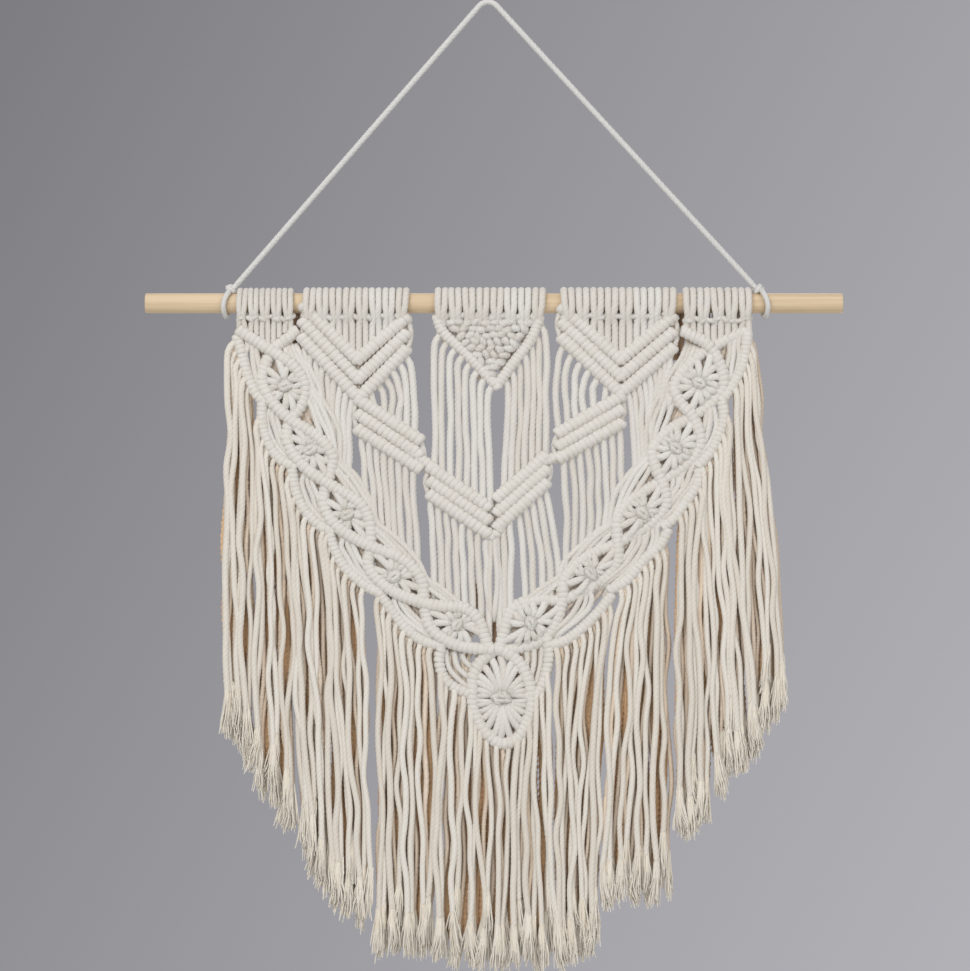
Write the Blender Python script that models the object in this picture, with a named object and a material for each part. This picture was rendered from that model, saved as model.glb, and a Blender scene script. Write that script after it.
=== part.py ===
"""A macrame wall hanging, knotted in cotton cord on a wooden dowel.

World units are metres with +Z up.  The hanging faces -Y.  The origin is where the
hanging cord rests on its nail.  Every table below is in millimetres, measured from
the middle of the dowel: x to the right, z up, y towards the wall.
"""
import math
import random
from collections import namedtuple

import bmesh
import bpy
from mathutils import Vector

MM = 0.001
GAP = 0.3                    # clearance between neighbouring pieces

# Dowel and hanging cord
DOWEL_DIAMETER = 12.0
DOWEL_LENGTH = 419.0
DOWEL_CHAMFER = 0.6
DOWEL_SIDES = 24
HOOK_RISE = 179.5            # nail above the dowel's axis
HOOK_SHIFT = -3.6            # nail to the left of the dowel's middle
HANGING_CORD = 3.5           # diameter
NAIL_BEND = 7.0              # radius of the cord's bend on the nail
NAIL_TURNS = 5               # sections of the bend
CORD_STEP = 9.5              # between two sections of the cord's straight legs
CORD_LEFT = (-154.5, 0.0, 11.5)                      # where each leg leaves its knot
CORD_RIGHT = (155.2, 0.0, 11.8)
LOOP_TURNS, LOOP_SIDES = 10, 5

# Mounting knots: how far their ridges and grooves stand off the dowel
MOUNT_RIDGE = 2.6
MOUNT_GROOVE = 1.5
MOUNT_SIDES = 6

# Cotton cord of the hanging itself, and the bars that are hitched with it
STRAND = 2.1                 # radius of a free strand's three-sided section
FINE_STRAND = 1.8            # radius where strands are pulled close together
STRAND_STEP = 24.0           # between two sections of a strand
BRAID_BAR = 3.5              # radius of a hitched bar in the braid
BACKING_BAR = 3.1            # radius of a hitched bar that carries fringe
HIDDEN_STRIP = 2.3           # radius of the strip behind the medallion
HIDDEN_STRIP_STEP = 14.0
HITCH = 6.6                  # length of bar between two sections
BAND_CREST = 3.9             # how far a band's row stands forward
BAND_DIP = 0.74              # its height between two hitches, as a share of the crest
BAND_VALLEY, BAND_EDGE, BAND_BACK = -0.9, 0.4, 3.0   # y between rows, at the edge, behind
PANEL_KNOT = (20.0, 10.5, 3.6, 2.4)                  # width, height, front and back depth
KNOT_RISE = 4.2              # how far a square knot stands in front of its arms
ARM_WIDTH = 3.0
ARM_LIMIT = 30.0             # no arm is longer
NET_DEPTH = -3.6             # y of the free strands in the net
BAR_DEPTH = -4.6             # y of the bars
KNOT_DEPTH = BAR_DEPTH + 0.5

# Fringe: strands lie alternately in a front and a back layer, and swell where they fray
LAYERS = (-1.9, 2.1)         # y of the layers from the backing's
HIDDEN_LAYERS = (0.3, 4.3)   # the same behind the medallion
FRAY_LENGTH = 22.0
FRAY_SWELL = 1.2
TIP_SCATTER = 4.0            # how much longer or shorter a strand may be
SWAY = 0.5
SEED = 7


# ---------------------------------------------------------------- tables
# The five headings of mounting knots along the dowel.
Heading = namedtuple("Heading", "name left right cords")
HEADINGS = (
    Heading("heading_a", -155.0, -118.5, 9),
    Heading("heading_b", -115.0, -51.0, 16),
    Heading("heading_c", -36.0, 31.0, 16),
    Heading("heading_d", 40.0, 109.5, 16),
    Heading("heading_e", 113.0, 155.2, 10),
)

# Bands of three hitched rows: the middle line of the top row and of the bottom row.
Band = namedtuple("Band", "top_row bottom_row")
BANDS = (
    Band(((-113, -14.5), (-82, -37), (-53, -14.5)), ((-115, -24), (-82, -56), (-53, -27))),
    Band(((41, -14.5), (76, -34), (107, -14.5)), ((41, -24), (76, -52), (107, -24))),
    Band(((-81, -58), (-45, -81)), ((-81, -76), (-45, -99))),
    Band(((39, -76), (76, -55)), ((39, -93), (76, -72))),
    Band(((-38, -97), (-4, -121)), ((-38, -113), (-4, -137))),
    Band(((2, -115), (31, -91)), ((2, -132), (31, -108))),
)

# Single hitched bars of the net.
Bar = namedtuple("Bar", "radius depth route")
BARS = (
    # left braid: two bars that cross five times
    Bar(BRAID_BAR, -0.9, ((-152, -17), (-133, -29), (-114, -49), (-121, -69), (-123, -85),
                          (-100, -107), (-75, -129), (-74, -146), (-74, -159), (-42, -179),
                          (-28, -179), (-12, -185), (-4, -195), (-2, -206))),
    Bar(BRAID_BAR, 0.9, ((-119, -17), (-133, -29), (-138, -46), (-122, -69), (-97, -91),
                         (-100, -107), (-102, -122), (-74, -146), (-44, -165), (-42, -179),
                         (-38, -193), (-22, -205), (-2, -207))),
    # right braid
    Bar(BRAID_BAR, -0.9, ((150, -17), (130, -27), (108, -49), (119, -67), (124, -85),
                          (100, -106), (74, -129), (74, -144), (73, -157), (41, -178),
                          (28, -178), (10, -185), (2, -196), (-1, -206))),
    Bar(BRAID_BAR, 0.9, ((114, -17), (130, -27), (138, -46), (119, -67), (95, -88),
                         (100, -106), (103, -121), (74, -144), (42, -166), (41, -178),
                         (35, -195), (20, -206), (-1, -207))),
    # lower border of the middle panel
    Bar(3.0, 0.0, ((-34, -14), (-29, -20), (-15, -32), (2, -50))),
    Bar(3.0, 0.0, ((27, -14), (22, -21), (12, -34), (2, -48))),
    # links between the bands
    Bar(2.9, 0.0, ((-50, -90), (-37, -99))),
    Bar(2.9, 0.0, ((40, -91), (29, -96))),
    Bar(3.2, 0.0, ((-8, -135), (-1, -140), (6, -131))),
    # medallion, and the ear on each side of it
    Bar(3.3, 0.0, ((1, -206), (-8, -217), (-13, -231), (-12, -244), (-6, -256), (2, -264),
                   (10, -263), (18, -254), (22, -241), (19, -227), (11, -214), (1, -206))),
    Bar(3.1, 0.0, ((-30, -206), (-33, -217), (-29, -227), (-21, -232), (-12, -235))),
    Bar(3.1, 0.0, ((31, -202), (33, -216), (29, -227), (21, -233))),
)

# Groups of free strands, evenly spread from the first to the last of the group.
Strands = namedtuple("Strands", "count top_first top_last foot_first foot_last bow radius")
STRAND_GROUPS = (
    # between the headings and the two chevrons
    Strands(3, (-102, -9.6), (-88, -9.6), (-101, -24), (-87, -36), 0.0, FINE_STRAND),
    Strands(3, (-78, -9.6), (-63, -9.6), (-77, -35), (-62, -23), 0.0, FINE_STRAND),
    Strands(3, (54, -9.6), (71, -9.6), (54, -23), (71, -32), 0.0, FINE_STRAND),
    Strands(3, (80, -9.6), (96, -9.6), (80, -32), (96, -23), 0.0, FINE_STRAND),
    # from the left chevron to its lower band, and to the braid
    Strands(5, (-73, -48), (-55, -30), (-71, -63), (-48, -78), 3.0, STRAND),
    Strands(6, (-109, -25), (-84, -52), (-107, -62), (-87, -104), 1.0, FINE_STRAND),
    # from the right chevron to its lower band, and to the braid
    Strands(5, (44, -28), (69, -48), (41, -74), (69, -59), -3.0, STRAND),
    Strands(6, (103, -26), (80, -50), (101, -60), (85, -106), -1.0, FINE_STRAND),
    # from the lower bands to the braid
    Strands(7, (-78, -78), (-50, -95), (-74, -124), (-46, -160), 1.5, STRAND),
    Strands(7, (41, -91), (74, -74), (43, -161), (75, -122), 2.5, STRAND),
    # under the middle panel
    Strands(8, (-33, -18), (-2, -46), (-36, -98), (-5, -119), -2.0, STRAND),
    Strands(6, (7, -42), (27, -13), (5, -113), (30, -94), 3.0, STRAND),
    # from the lowest bands to the foot of the braid
    Strands(7, (-36, -113), (-4, -137), (-37, -164), (-4, -196), 0.0, STRAND),
    Strands(7, (4, -130), (30, -110), (4, -196), (40, -164), 3.0, STRAND),
)

# Struts beside the braid: strands that run along the outside or inside of an eye.
Strut = namedtuple("Strut", "top foot bow")
STRUTS = (
    # outside the left braid and the right braid
    Strut((-145, -21), (-138, -51), -3.0), Strut((-129, -60), (-117, -92), -4.5),
    Strut((-111, -97), (-94, -133), -4.5), Strut((-85, -139), (-65, -167), -4.5),
    Strut((-56, -172), (-38, -195), -3.5),
    Strut((144, -21), (139, -50), 3.0), Strut((127, -58), (118, -92), 4.5),
    Strut((111, -98), (94, -129), 4.5), Strut((85, -137), (63, -165), 4.5),
    Strut((56, -171), (37, -195), 3.5),
    # inside the left braid and the right braid
    Strut((-115, -58), (-98, -88), 3.0), Strut((-95, -98), (-76, -126), 3.0),
    Strut((-72, -134), (-47, -163), 3.0),
    Strut((110, -56), (97, -86), -3.0), Strut((94, -96), (76, -125), -3.0),
    Strut((72, -134), (46, -162), -3.0),
    # inside the medallion's ears
    Strut((-22, -206), (-12, -225), -2.0), Strut((23, -206), (19, -223), 2.0),
)

# Square knots in the eyes of the braid and in the medallion.  Arms of cord fan out above
# and below each, as far as the bar round the eye.
Knot = namedtuple("Knot", "centre lean hub arms spread")
KNOTS = (
    Knot((-124, -51), 20, 5.5, 3, 76), Knot((-109, -88), 28, 5.5, 3, 76),
    Knot((-87, -127), 30, 5.5, 3, 76), Knot((-60, -164), 40, 5.5, 3, 76),
    Knot((-23, -192), 62, 4.5, 2, 60),
    Knot((123, -49), -20, 5.5, 3, 76), Knot((109, -88), -28, 5.5, 3, 76),
    Knot((88, -126), -30, 5.5, 3, 76), Knot((58, -162), -40, 5.5, 3, 76),
    Knot((23, -192), -62, 4.5, 2, 60),
    Knot((4, -237), 0, 8.0, 5, 100),
)

# Small square knots of the three filled panels, in rows under the dowel.
KnotRow = namedtuple("KnotRow", "first last height count")
KNOT_ROWS = (
    KnotRow(-146, -128, -15.5, 2),
    KnotRow(123, 142, -15.5, 2),
    KnotRow(-22, 17, -15.5, 3), KnotRow(-13, 9, -24.5, 2), KnotRow(-1, -1, -34, 1),
)

# Fringe: the backing bar, the tips of the first and the last strand on it, and how long
# the core cord is that leads from the bar's inner end up to the braid.
Fringe = namedtuple("Fringe", "name depth backing count tip_first tip_last bulge lead")
FRINGES = (
    Fringe("fringe_left_1", BAR_DEPTH, ((-155, -27), (-151, -41), (-145, -54)),
           5, (-158, -256), (-146, -273), -5.0, 5.7),
    Fringe("fringe_left_2", BAR_DEPTH, ((-138.6, -61), (-139, -73), (-134, -86), (-127, -96)),
           6, (-141, -277), (-122, -317), 0.0, 6.1),
    Fringe("fringe_left_3", BAR_DEPTH, ((-120.5, -105), (-118, -115), (-112.5, -125), (-104, -134)),
           6, (-117, -320), (-100, -349), 0.0, 6.1),
    Fringe("fringe_left_4", BAR_DEPTH, ((-97.4, -143.5), (-92.5, -155), (-85.5, -164), (-77, -171)),
           7, (-96, -352), (-74, -366), 0.0, 7.9),
    Fringe("fringe_left_5", BAR_DEPTH, ((-69, -176), (-61, -187), (-52, -198), (-42, -204)),
           8, (-69, -376), (-40, -390), 0.0, 7.0),
    Fringe("fringe_middle", 1.6,
           ((-33, -222), (-24, -236), (-12, -244), (-4, -257), (5, -265), (14, -257), (21, -244),
            (28, -232), (34, -216)),
           18, (-34, -391), (37, -392), 0.0, 0.0),
    Fringe("fringe_right_5", BAR_DEPTH, ((41, -204), (54, -195), (68, -184)),
           8, (43, -390), (65, -372), 0.0, 7.1),
    Fringe("fringe_right_4", BAR_DEPTH, ((77, -170), (89, -155), (101, -142)),
           7, (71, -367), (97, -355), 0.0, 8.7),
    Fringe("fringe_right_3", BAR_DEPTH, ((110, -133), (117, -119), (124, -105)),
           6, (102, -353), (122, -318), 0.0, 9.9),
    Fringe("fringe_right_2", BAR_DEPTH, ((132, -93), (137, -78), (139, -63)),
           6, (127, -314), (145, -274), 0.0, 8.1),
    Fringe("fringe_right_1", BAR_DEPTH, ((147, -54), (151, -40), (154, -27)),
           5, (150, -270), (172, -236), 5.0, 7.7),
)


# ---------------------------------------------------------------- materials and objects
def make_material(name, colour, roughness):
    material = bpy.data.materials.new(name)
    material.use_nodes = True
    shader = material.node_tree.nodes["Principled BSDF"]
    shader.inputs["Base Color"].default_value = (*colour, 1.0)
    shader.inputs["Roughness"].default_value = roughness
    shader.inputs["Metallic"].default_value = 0.0
    material.diffuse_color = (*colour, 1.0)
    return material


def place(name, bm, material, parent):
    """Turns a bmesh in millimetres into a named object under the dowel's empty."""
    bmesh.ops.recalc_face_normals(bm, faces=bm.faces)
    bmesh.ops.scale(bm, vec=(MM, MM, MM), verts=bm.verts)
    mesh = bpy.data.meshes.new(name)
    bm.to_mesh(mesh)
    bm.free()
    mesh.shade_smooth()
    mesh.set_sharp_from_angle(angle=math.radians(40))
    mesh.materials.append(material)
    piece = bpy.data.objects.new(name, mesh)
    piece.parent = parent
    bpy.context.scene.collection.objects.link(piece)
    return piece


def union_with(piece, guide):
    """Fuses a hidden guide's bodies into the piece."""
    guide.hide_render = True
    guide.display_type = "WIRE"
    join = piece.modifiers.new("Fuse", "BOOLEAN")
    join.operation = "UNION"
    join.solver = "EXACT"
    join.use_self = True
    join.object = guide


# ---------------------------------------------------------------- routes
def smooth_route(points, step):
    """Evenly spaced points, about step apart, on a smooth curve through the given ones."""
    points = [Vector(p) for p in points]
    before = points[0] * 2 - points[1]
    after = points[-1] * 2 - points[-2]
    if (points[0] - points[-1]).length < 1e-6:
        before, after = points[-2], points[1]
    padded = [before] + points + [after]
    dense = []
    pieces = 24
    for i in range(1, len(padded) - 2):
        p0, p1, p2, p3 = padded[i - 1:i + 3]
        for k in range(pieces):
            t = k / pieces
            dense.append(0.5 * (2 * p1 + (p2 - p0) * t + (2 * p0 - 5 * p1 + 4 * p2 - p3) * t ** 2
                                + (3 * p1 - p0 - 3 * p2 + p3) * t ** 3))
    dense.append(points[-1])
    return even_route(dense, step)


def even_route(dense, step):
    """The same route with evenly spaced points, the first and last kept."""
    lengths = [0.0]
    for a, b in zip(dense, dense[1:]):
        lengths.append(lengths[-1] + (b - a).length)
    count = max(1, round(lengths[-1] / step))
    route = []
    seg = 0
    for i in range(count + 1):
        goal = lengths[-1] * i / count
        while seg < len(dense) - 2 and lengths[seg + 1] < goal:
            seg += 1
        span = lengths[seg + 1] - lengths[seg]
        share = (goal - lengths[seg]) / span if span > 0 else 0.0
        route.append(dense[seg].lerp(dense[seg + 1], min(share, 1.0)))
    return route


def in_front(points, depth):
    """Lifts flat (x, z) points to the given depth."""
    return [(x, depth, z) for x, z in points]


def between(first, last, share):
    return tuple(a + (b - a) * share for a, b in zip(first, last))


def bowed(top, foot, bow):
    """The middle of a strand that bows sideways."""
    x, z = between(top, foot, 0.5)
    return x + bow, z


# ---------------------------------------------------------------- closed bodies
def add_tube(bm, route, radii, sides, closed=False, hitched=False):
    """A closed tube.  Its sections keep a corner to the front, but where it is hitched every
    second one turns by half a side, which faces the tube like wound cord."""
    front = Vector((0, -1, 0))
    rings = []
    last = len(route) - 1
    for i, centre in enumerate(route):
        ahead = route[(i + 1) % last] if closed else route[min(i + 1, last)]
        behind = route[(i - 1) % last] if closed else route[max(i - 1, 0)]
        along = (ahead - behind).normalized()
        side = along.cross(front).normalized()
        face = side.cross(along).normalized()
        half_turn = 0.5 if hitched and i % 2 else 0.0
        ring = []
        for k in range(sides):
            angle = 2 * math.pi * (k + half_turn) / sides
            ring.append(bm.verts.new(centre + radii[i] * (math.cos(angle) * face
                                                          + math.sin(angle) * side)))
        rings.append(ring)
    if closed:
        for vert in rings.pop():
            bm.verts.remove(vert)
        pairs = list(zip(rings, rings[1:] + rings[:1]))
    else:
        pairs = list(zip(rings, rings[1:]))
        bm.faces.new(rings[0][::-1])
        bm.faces.new(rings[-1])
    for i, (a, b) in enumerate(pairs):
        for k in range(sides):
            m = (k + 1) % sides
            if not hitched:
                bm.faces.new((a[k], a[m], b[m], b[k]))
            elif i % 2 == 0:
                bm.faces.new((a[k], a[m], b[k]))
                bm.faces.new((a[m], b[m], b[k]))
            else:
                bm.faces.new((a[k], b[m], b[k]))
                bm.faces.new((a[k], a[m], b[m]))


def add_bar(bm, points, radius, depth):
    """A four-sided bar of hitches wound round a core.  A closed one has an even number of
    sections, so that its turned sections meet."""
    flat = in_front(points, depth)
    closed = points[0] == points[-1]
    route = smooth_route(flat, HITCH)
    if closed and len(route) % 2 == 0:
        route = smooth_route(flat, HITCH * (len(route) - 1) / len(route))
    add_tube(bm, route, [radius] * len(route), 4, closed, hitched=True)


def add_band(bm, band, depth):
    """Three hitched rows side by side, as one ribbed body cut in upright slices."""
    tops = [Vector(p) for p in in_front(band.top_row, depth)]
    bottoms = [Vector(p) for p in in_front(band.bottom_row, depth)]
    slices = []
    for i in range(len(tops) - 1):
        count = max(2, round((tops[i + 1] - tops[i]).length / HITCH))
        for k in range(1 if slices else 0, count + 1):
            top = tops[i].lerp(tops[i + 1], k / count)
            bottom = bottoms[i].lerp(bottoms[i + 1], k / count)
            rib = -BAND_CREST if len(slices) % 2 == 0 else -BAND_CREST * BAND_DIP
            half = (top - bottom) / 4
            outline = ((top + half, BAND_EDGE), (top, rib), (top - half, BAND_VALLEY),
                       ((top + bottom) / 2, rib), (bottom + half, BAND_VALLEY), (bottom, rib),
                       (bottom - half, BAND_EDGE), (bottom, BAND_BACK), (top, BAND_BACK))
            slices.append([bm.verts.new(at + Vector((0, y, 0))) for at, y in outline])
    bm.faces.new(slices[0][::-1])
    bm.faces.new(slices[-1])
    size = len(slices[0])
    for a, b in zip(slices, slices[1:]):
        for k in range(size):
            m = (k + 1) % size
            bm.faces.new((a[k], a[m], b[m], b[k]))


def add_panel_knot(bm, x, z):
    """A small square knot of a filled panel: a flat barrel with a ridge across it."""
    width, height, front_rise, back_rise = PANEL_KNOT
    middle = Vector((x, KNOT_DEPTH, z))
    rim = []
    for across, up in ((1, 0.45), (0.45, 1), (-0.45, 1), (-1, 0.45), (-1, -0.45), (-0.45, -1),
                       (0.45, -1), (1, -0.45)):
        rim.append(bm.verts.new(middle + Vector((across * width / 2, 0, up * height / 2))))
    right = bm.verts.new(middle + Vector((width / 4, -front_rise, 0)))
    left = bm.verts.new(middle + Vector((-width / 4, -front_rise, 0)))
    back = bm.verts.new(middle + Vector((0, back_rise, 0)))
    for k in (6, 7, 0):
        bm.faces.new((rim[k], rim[(k + 1) % 8], right))
    for k in (2, 3, 4):
        bm.faces.new((rim[k], rim[k + 1], left))
    bm.faces.new((rim[1], rim[2], left, right))
    bm.faces.new((rim[5], rim[6], right, left))
    for k in range(8):
        bm.faces.new((rim[(k + 1) % 8], rim[k], back))


def reach_to_bar(centre, direction, routes):
    """How far from the centre the nearest bar is in a direction, in the flat x, z plane."""
    nearest = ARM_LIMIT
    for route in routes:
        for a, b in zip(route, route[1:]):
            run = b - a
            cross = direction.x * run.z - direction.z * run.x
            if abs(cross) < 1e-9:
                continue
            gap = a - centre
            reach = (gap.x * run.z - gap.z * run.x) / cross
            share = (gap.x * direction.z - gap.z * direction.x) / cross
            if 0 <= share <= 1 and 0 < reach < nearest:
                nearest = reach
    return nearest


def add_fan_knot(bm, knot, routes):
    """A square knot in its eye: a raised middle with arms of cord that fan out above
    and below it to the bars round the eye."""
    middle = Vector((knot.centre[0], KNOT_DEPTH, knot.centre[1]))

    def towards(bearing):
        angle = math.radians(knot.lean + bearing)
        return Vector((math.sin(angle), 0, -math.cos(angle)))

    across = towards(90)
    rim = []
    for base in (0, 180):
        for i in range(knot.arms):
            bearing = base + knot.spread * (i / (knot.arms - 1) - 0.5)
            way = towards(bearing)
            end = middle + way * reach_to_bar(middle, way, routes)
            half = towards(bearing + 90) * ARM_WIDTH / 2
            last = i == knot.arms - 1
            step = 90 - knot.spread / 2 if last else knot.spread / (knot.arms - 1) / 2
            hub = knot.hub if last else knot.hub * 0.75
            rim += [end - half, end + half, middle + towards(bearing + step) * hub]
    rim = [bm.verts.new(at) for at in rim]
    rise = Vector((0, KNOT_RISE, 0))
    front = [bm.verts.new(middle - rise + across * knot.hub * share) for share in (0.5, -0.5)]
    back = bm.verts.new(middle + rise / 2)
    nearer = []
    for vert, after in zip(rim, rim[1:] + rim[:1]):
        bm.faces.new((vert, after, back))
        sideways = (vert.co + after.co) / 2 - middle
        nearer.append(front[0] if sideways.dot(across) > 0 else front[1])
        bm.faces.new((after, vert, nearer[-1]))
    for k, vert in enumerate(rim):
        if nearer[k] is not nearer[k - 1]:
            bm.faces.new((front[0], vert, front[1]))


def add_strand(bm, points, radius):
    route = smooth_route(in_front(points, NET_DEPTH), STRAND_STEP)
    add_tube(bm, route, [radius] * len(route), 3)


# ---------------------------------------------------------------- pieces
def build_dowel(material, parent):
    bm = bmesh.new()
    half = DOWEL_LENGTH / 2
    radius = DOWEL_DIAMETER / 2
    stations = ((-half, radius - DOWEL_CHAMFER), (-half + DOWEL_CHAMFER, radius),
                (half - DOWEL_CHAMFER, radius), (half, radius - DOWEL_CHAMFER))
    route = [Vector((x, 0, 0)) for x, r in stations]
    add_tube(bm, route, [r for x, r in stations], DOWEL_SIDES)
    place("dowel", bm, material, parent)


def build_headings(material, parent):
    """Sleeves of mounting knots round the dowel, one ridge for each cord."""
    bore = DOWEL_DIAMETER / 2 + GAP
    ridge, groove = bore + MOUNT_RIDGE, bore + MOUNT_GROOVE
    for heading in HEADINGS:
        bm = bmesh.new()
        pitch = (heading.right - heading.left) / heading.cords
        stations = [(heading.left, bore), (heading.left, groove)]
        for cord in range(heading.cords):
            start = heading.left + pitch * cord
            stations.append((start + pitch * 0.5, ridge))
            stations.append((start + pitch, groove))
        stations.append((heading.right, bore))
        rings = []
        for x, radius in stations:
            ring = []
            for k in range(MOUNT_SIDES):
                angle = 2 * math.pi * k / MOUNT_SIDES
                reach = radius / math.cos(math.pi / MOUNT_SIDES)
                ring.append(bm.verts.new((x, -reach * math.cos(angle), reach * math.sin(angle))))
            rings.append(ring)
        for a, b in zip(rings, rings[1:] + rings[:1]):
            for k in range(MOUNT_SIDES):
                m = (k + 1) % MOUNT_SIDES
                bm.faces.new((a[k], b[k], b[m], a[m]))
        place(heading.name, bm, material, parent)


def build_net(material, parent):
    """Bands, braids, panels and free strands, all knotted into one piece."""
    bars = bmesh.new()
    for band in BANDS:
        add_band(bars, band, BAR_DEPTH)
    for bar in BARS:
        add_bar(bars, bar.route, bar.radius, BAR_DEPTH + bar.depth)
    for row in KNOT_ROWS:
        for i in range(row.count):
            share = i / (row.count - 1) if row.count > 1 else 0.0
            x = row.first + (row.last - row.first) * share
            add_panel_knot(bars, x, row.height)
    routes = [smooth_route(in_front(bar.route, BAR_DEPTH), HITCH) for bar in BARS]
    for knot in KNOTS:
        add_fan_knot(bars, knot, routes)
    net = place("macrame_net", bars, material, parent)

    free = bmesh.new()
    for group in STRAND_GROUPS:
        for i in range(group.count):
            share = i / (group.count - 1)
            top = between(group.top_first, group.top_last, share)
            foot = between(group.foot_first, group.foot_last, share)
            add_strand(free, (top, bowed(top, foot, group.bow), foot), group.radius)
    for strut in STRUTS:
        add_strand(free, (strut.top, bowed(strut.top, strut.foot, strut.bow), strut.foot), FINE_STRAND)
    guide = place("net_strands", free, material, parent)
    union_with(net, guide)


def build_fringe(fringe, material, parent):
    """A backing bar with strands that hang from it and fray at the tip."""
    chance = random.Random(SEED + len(fringe.name) + int(fringe.tip_first[0]))
    hidden = fringe.depth != BAR_DEPTH
    bar = bmesh.new()
    if hidden:
        strip = smooth_route(in_front(fringe.backing, fringe.depth), HIDDEN_STRIP_STEP)
        add_tube(bar, strip, [HIDDEN_STRIP] * len(strip), 4)
    else:
        add_bar(bar, fringe.backing, BACKING_BAR, fringe.depth)
    piece = place(fringe.name, bar, material, parent)

    hang = bmesh.new()
    if fringe.lead:
        x, z = min((fringe.backing[0], fringe.backing[-1]), key=lambda point: abs(point[0]))
        start = Vector((x, fringe.depth, z))
        way = Vector((-math.copysign(1, x), 0, 1)).normalized()
        add_tube(hang, [start, start + way * fringe.lead], [FINE_STRAND] * 2, 3)
    roots = smooth_route(in_front(fringe.backing, fringe.depth), 1.0)
    for i in range(fringe.count):
        share = i / (fringe.count - 1)
        root = roots[round((0.03 + 0.94 * share) * (len(roots) - 1))]
        tip_x, tip_z = between(fringe.tip_first, fringe.tip_last, share)
        tip_z += chance.uniform(-TIP_SCATTER, TIP_SCATTER)
        sway = chance.uniform(-SWAY, SWAY)
        outer = 1.0 - share if fringe.bulge < 0 else share
        layer = (HIDDEN_LAYERS if hidden else LAYERS)[i % 2]
        shoulder = root.x + 0.45 * (tip_x - root.x) + fringe.bulge * outer
        length = root.z - tip_z
        stations = (
            (root.x, 0.0, root.z, STRAND),
            (shoulder, layer, root.z - 0.16 * length, STRAND),
            (tip_x + sway, layer, root.z - 0.55 * length, STRAND),
            (tip_x, layer, tip_z + FRAY_LENGTH, STRAND),
            (tip_x, layer, tip_z, STRAND * FRAY_SWELL),
        )
        route = [Vector((x, fringe.depth + y, z)) for x, y, z, r in stations]
        add_tube(hang, route, [r for x, y, z, r in stations], 3)
    guide = place(fringe.name + "_strands", hang, material, parent)
    union_with(piece, guide)


def cord_leg_route():
    """Both legs of the hanging cord and its bend over the nail, in millimetres."""
    left, right = Vector(CORD_LEFT), Vector(CORD_RIGHT)
    centre = Vector((HOOK_SHIFT, 0, HOOK_RISE + HANGING_CORD / 2 - NAIL_BEND))
    turns = []
    for knot, sign in ((left, 1), (right, -1)):
        out = knot - centre
        turns.append(math.atan2(out.z, out.x) - sign * math.acos(NAIL_BEND / out.length))
    start, end = turns[0] % (2 * math.pi), turns[1]
    bend = []
    for k in range(NAIL_TURNS + 1):
        angle = start + (end - start) * k / NAIL_TURNS
        bend.append(centre + NAIL_BEND * Vector((math.cos(angle), 0, math.sin(angle))))
    return (even_route([left, bend[0]], CORD_STEP)[:-1] + bend
            + even_route([bend[-1], right], CORD_STEP)[1:])


def build_hanging_cord(material, parent):
    route = cord_leg_route()
    curve = bpy.data.curves.new("hanging_cord", "CURVE")
    curve.dimensions = "3D"
    spline = curve.splines.new("POLY")
    spline.points.add(len(route) - 1)
    for point, place_at in zip(spline.points, route):
        point.co = (*(place_at * MM), 1.0)
    curve.bevel_depth = HANGING_CORD / 2 * MM
    curve.bevel_resolution = 2
    curve.use_fill_caps = True
    curve.materials.append(material)
    cord = bpy.data.objects.new("hanging_cord", curve)
    cord.parent = parent
    bpy.context.scene.collection.objects.link(cord)


def build_cord_loop(name, ring_x, knot_x, material, parent):
    """The cord's end tied round the dowel: a ring, and the knot beside it."""
    bm = bmesh.new()
    radius = HANGING_CORD / 2
    rings = []
    for i in range(LOOP_TURNS):
        angle = 2 * math.pi * i / LOOP_TURNS
        out = Vector((0, math.cos(angle), math.sin(angle)))
        centre = Vector((ring_x, 0, 0)) + out * (DOWEL_DIAMETER / 2 + GAP + radius)
        ring = []
        for k in range(LOOP_SIDES):
            around = 2 * math.pi * k / LOOP_SIDES
            ring.append(bm.verts.new(centre + radius * (math.cos(around) * out
                                                        + math.sin(around) * Vector((1, 0, 0)))))
        rings.append(ring)
    for a, b in zip(rings, rings[1:] + rings[:1]):
        for k in range(LOOP_SIDES):
            m = (k + 1) % LOOP_SIDES
            bm.faces.new((a[k], a[m], b[m], b[k]))
    piece = place(name, bm, material, parent)

    knot = bmesh.new()
    inward = 1 if knot_x > ring_x else -1
    stations = (
        (ring_x - inward, 0.0, 8.2, 1.6),
        (ring_x + inward, -0.6, 8.8, 2.6),
        (knot_x - inward, -0.8, 9.2, 3.0),
        (knot_x + inward * 0.6, -0.4, 9.8, 2.5),
        (knot_x + inward * 2.0, 0.0, 10.8, 1.9),
    )
    add_tube(knot, [Vector((x, y, z)) for x, y, z, r in stations], [r for x, y, z, r in stations],
             LOOP_SIDES)
    guide = place(name + "_knot", knot, material, parent)
    union_with(piece, guide)


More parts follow.
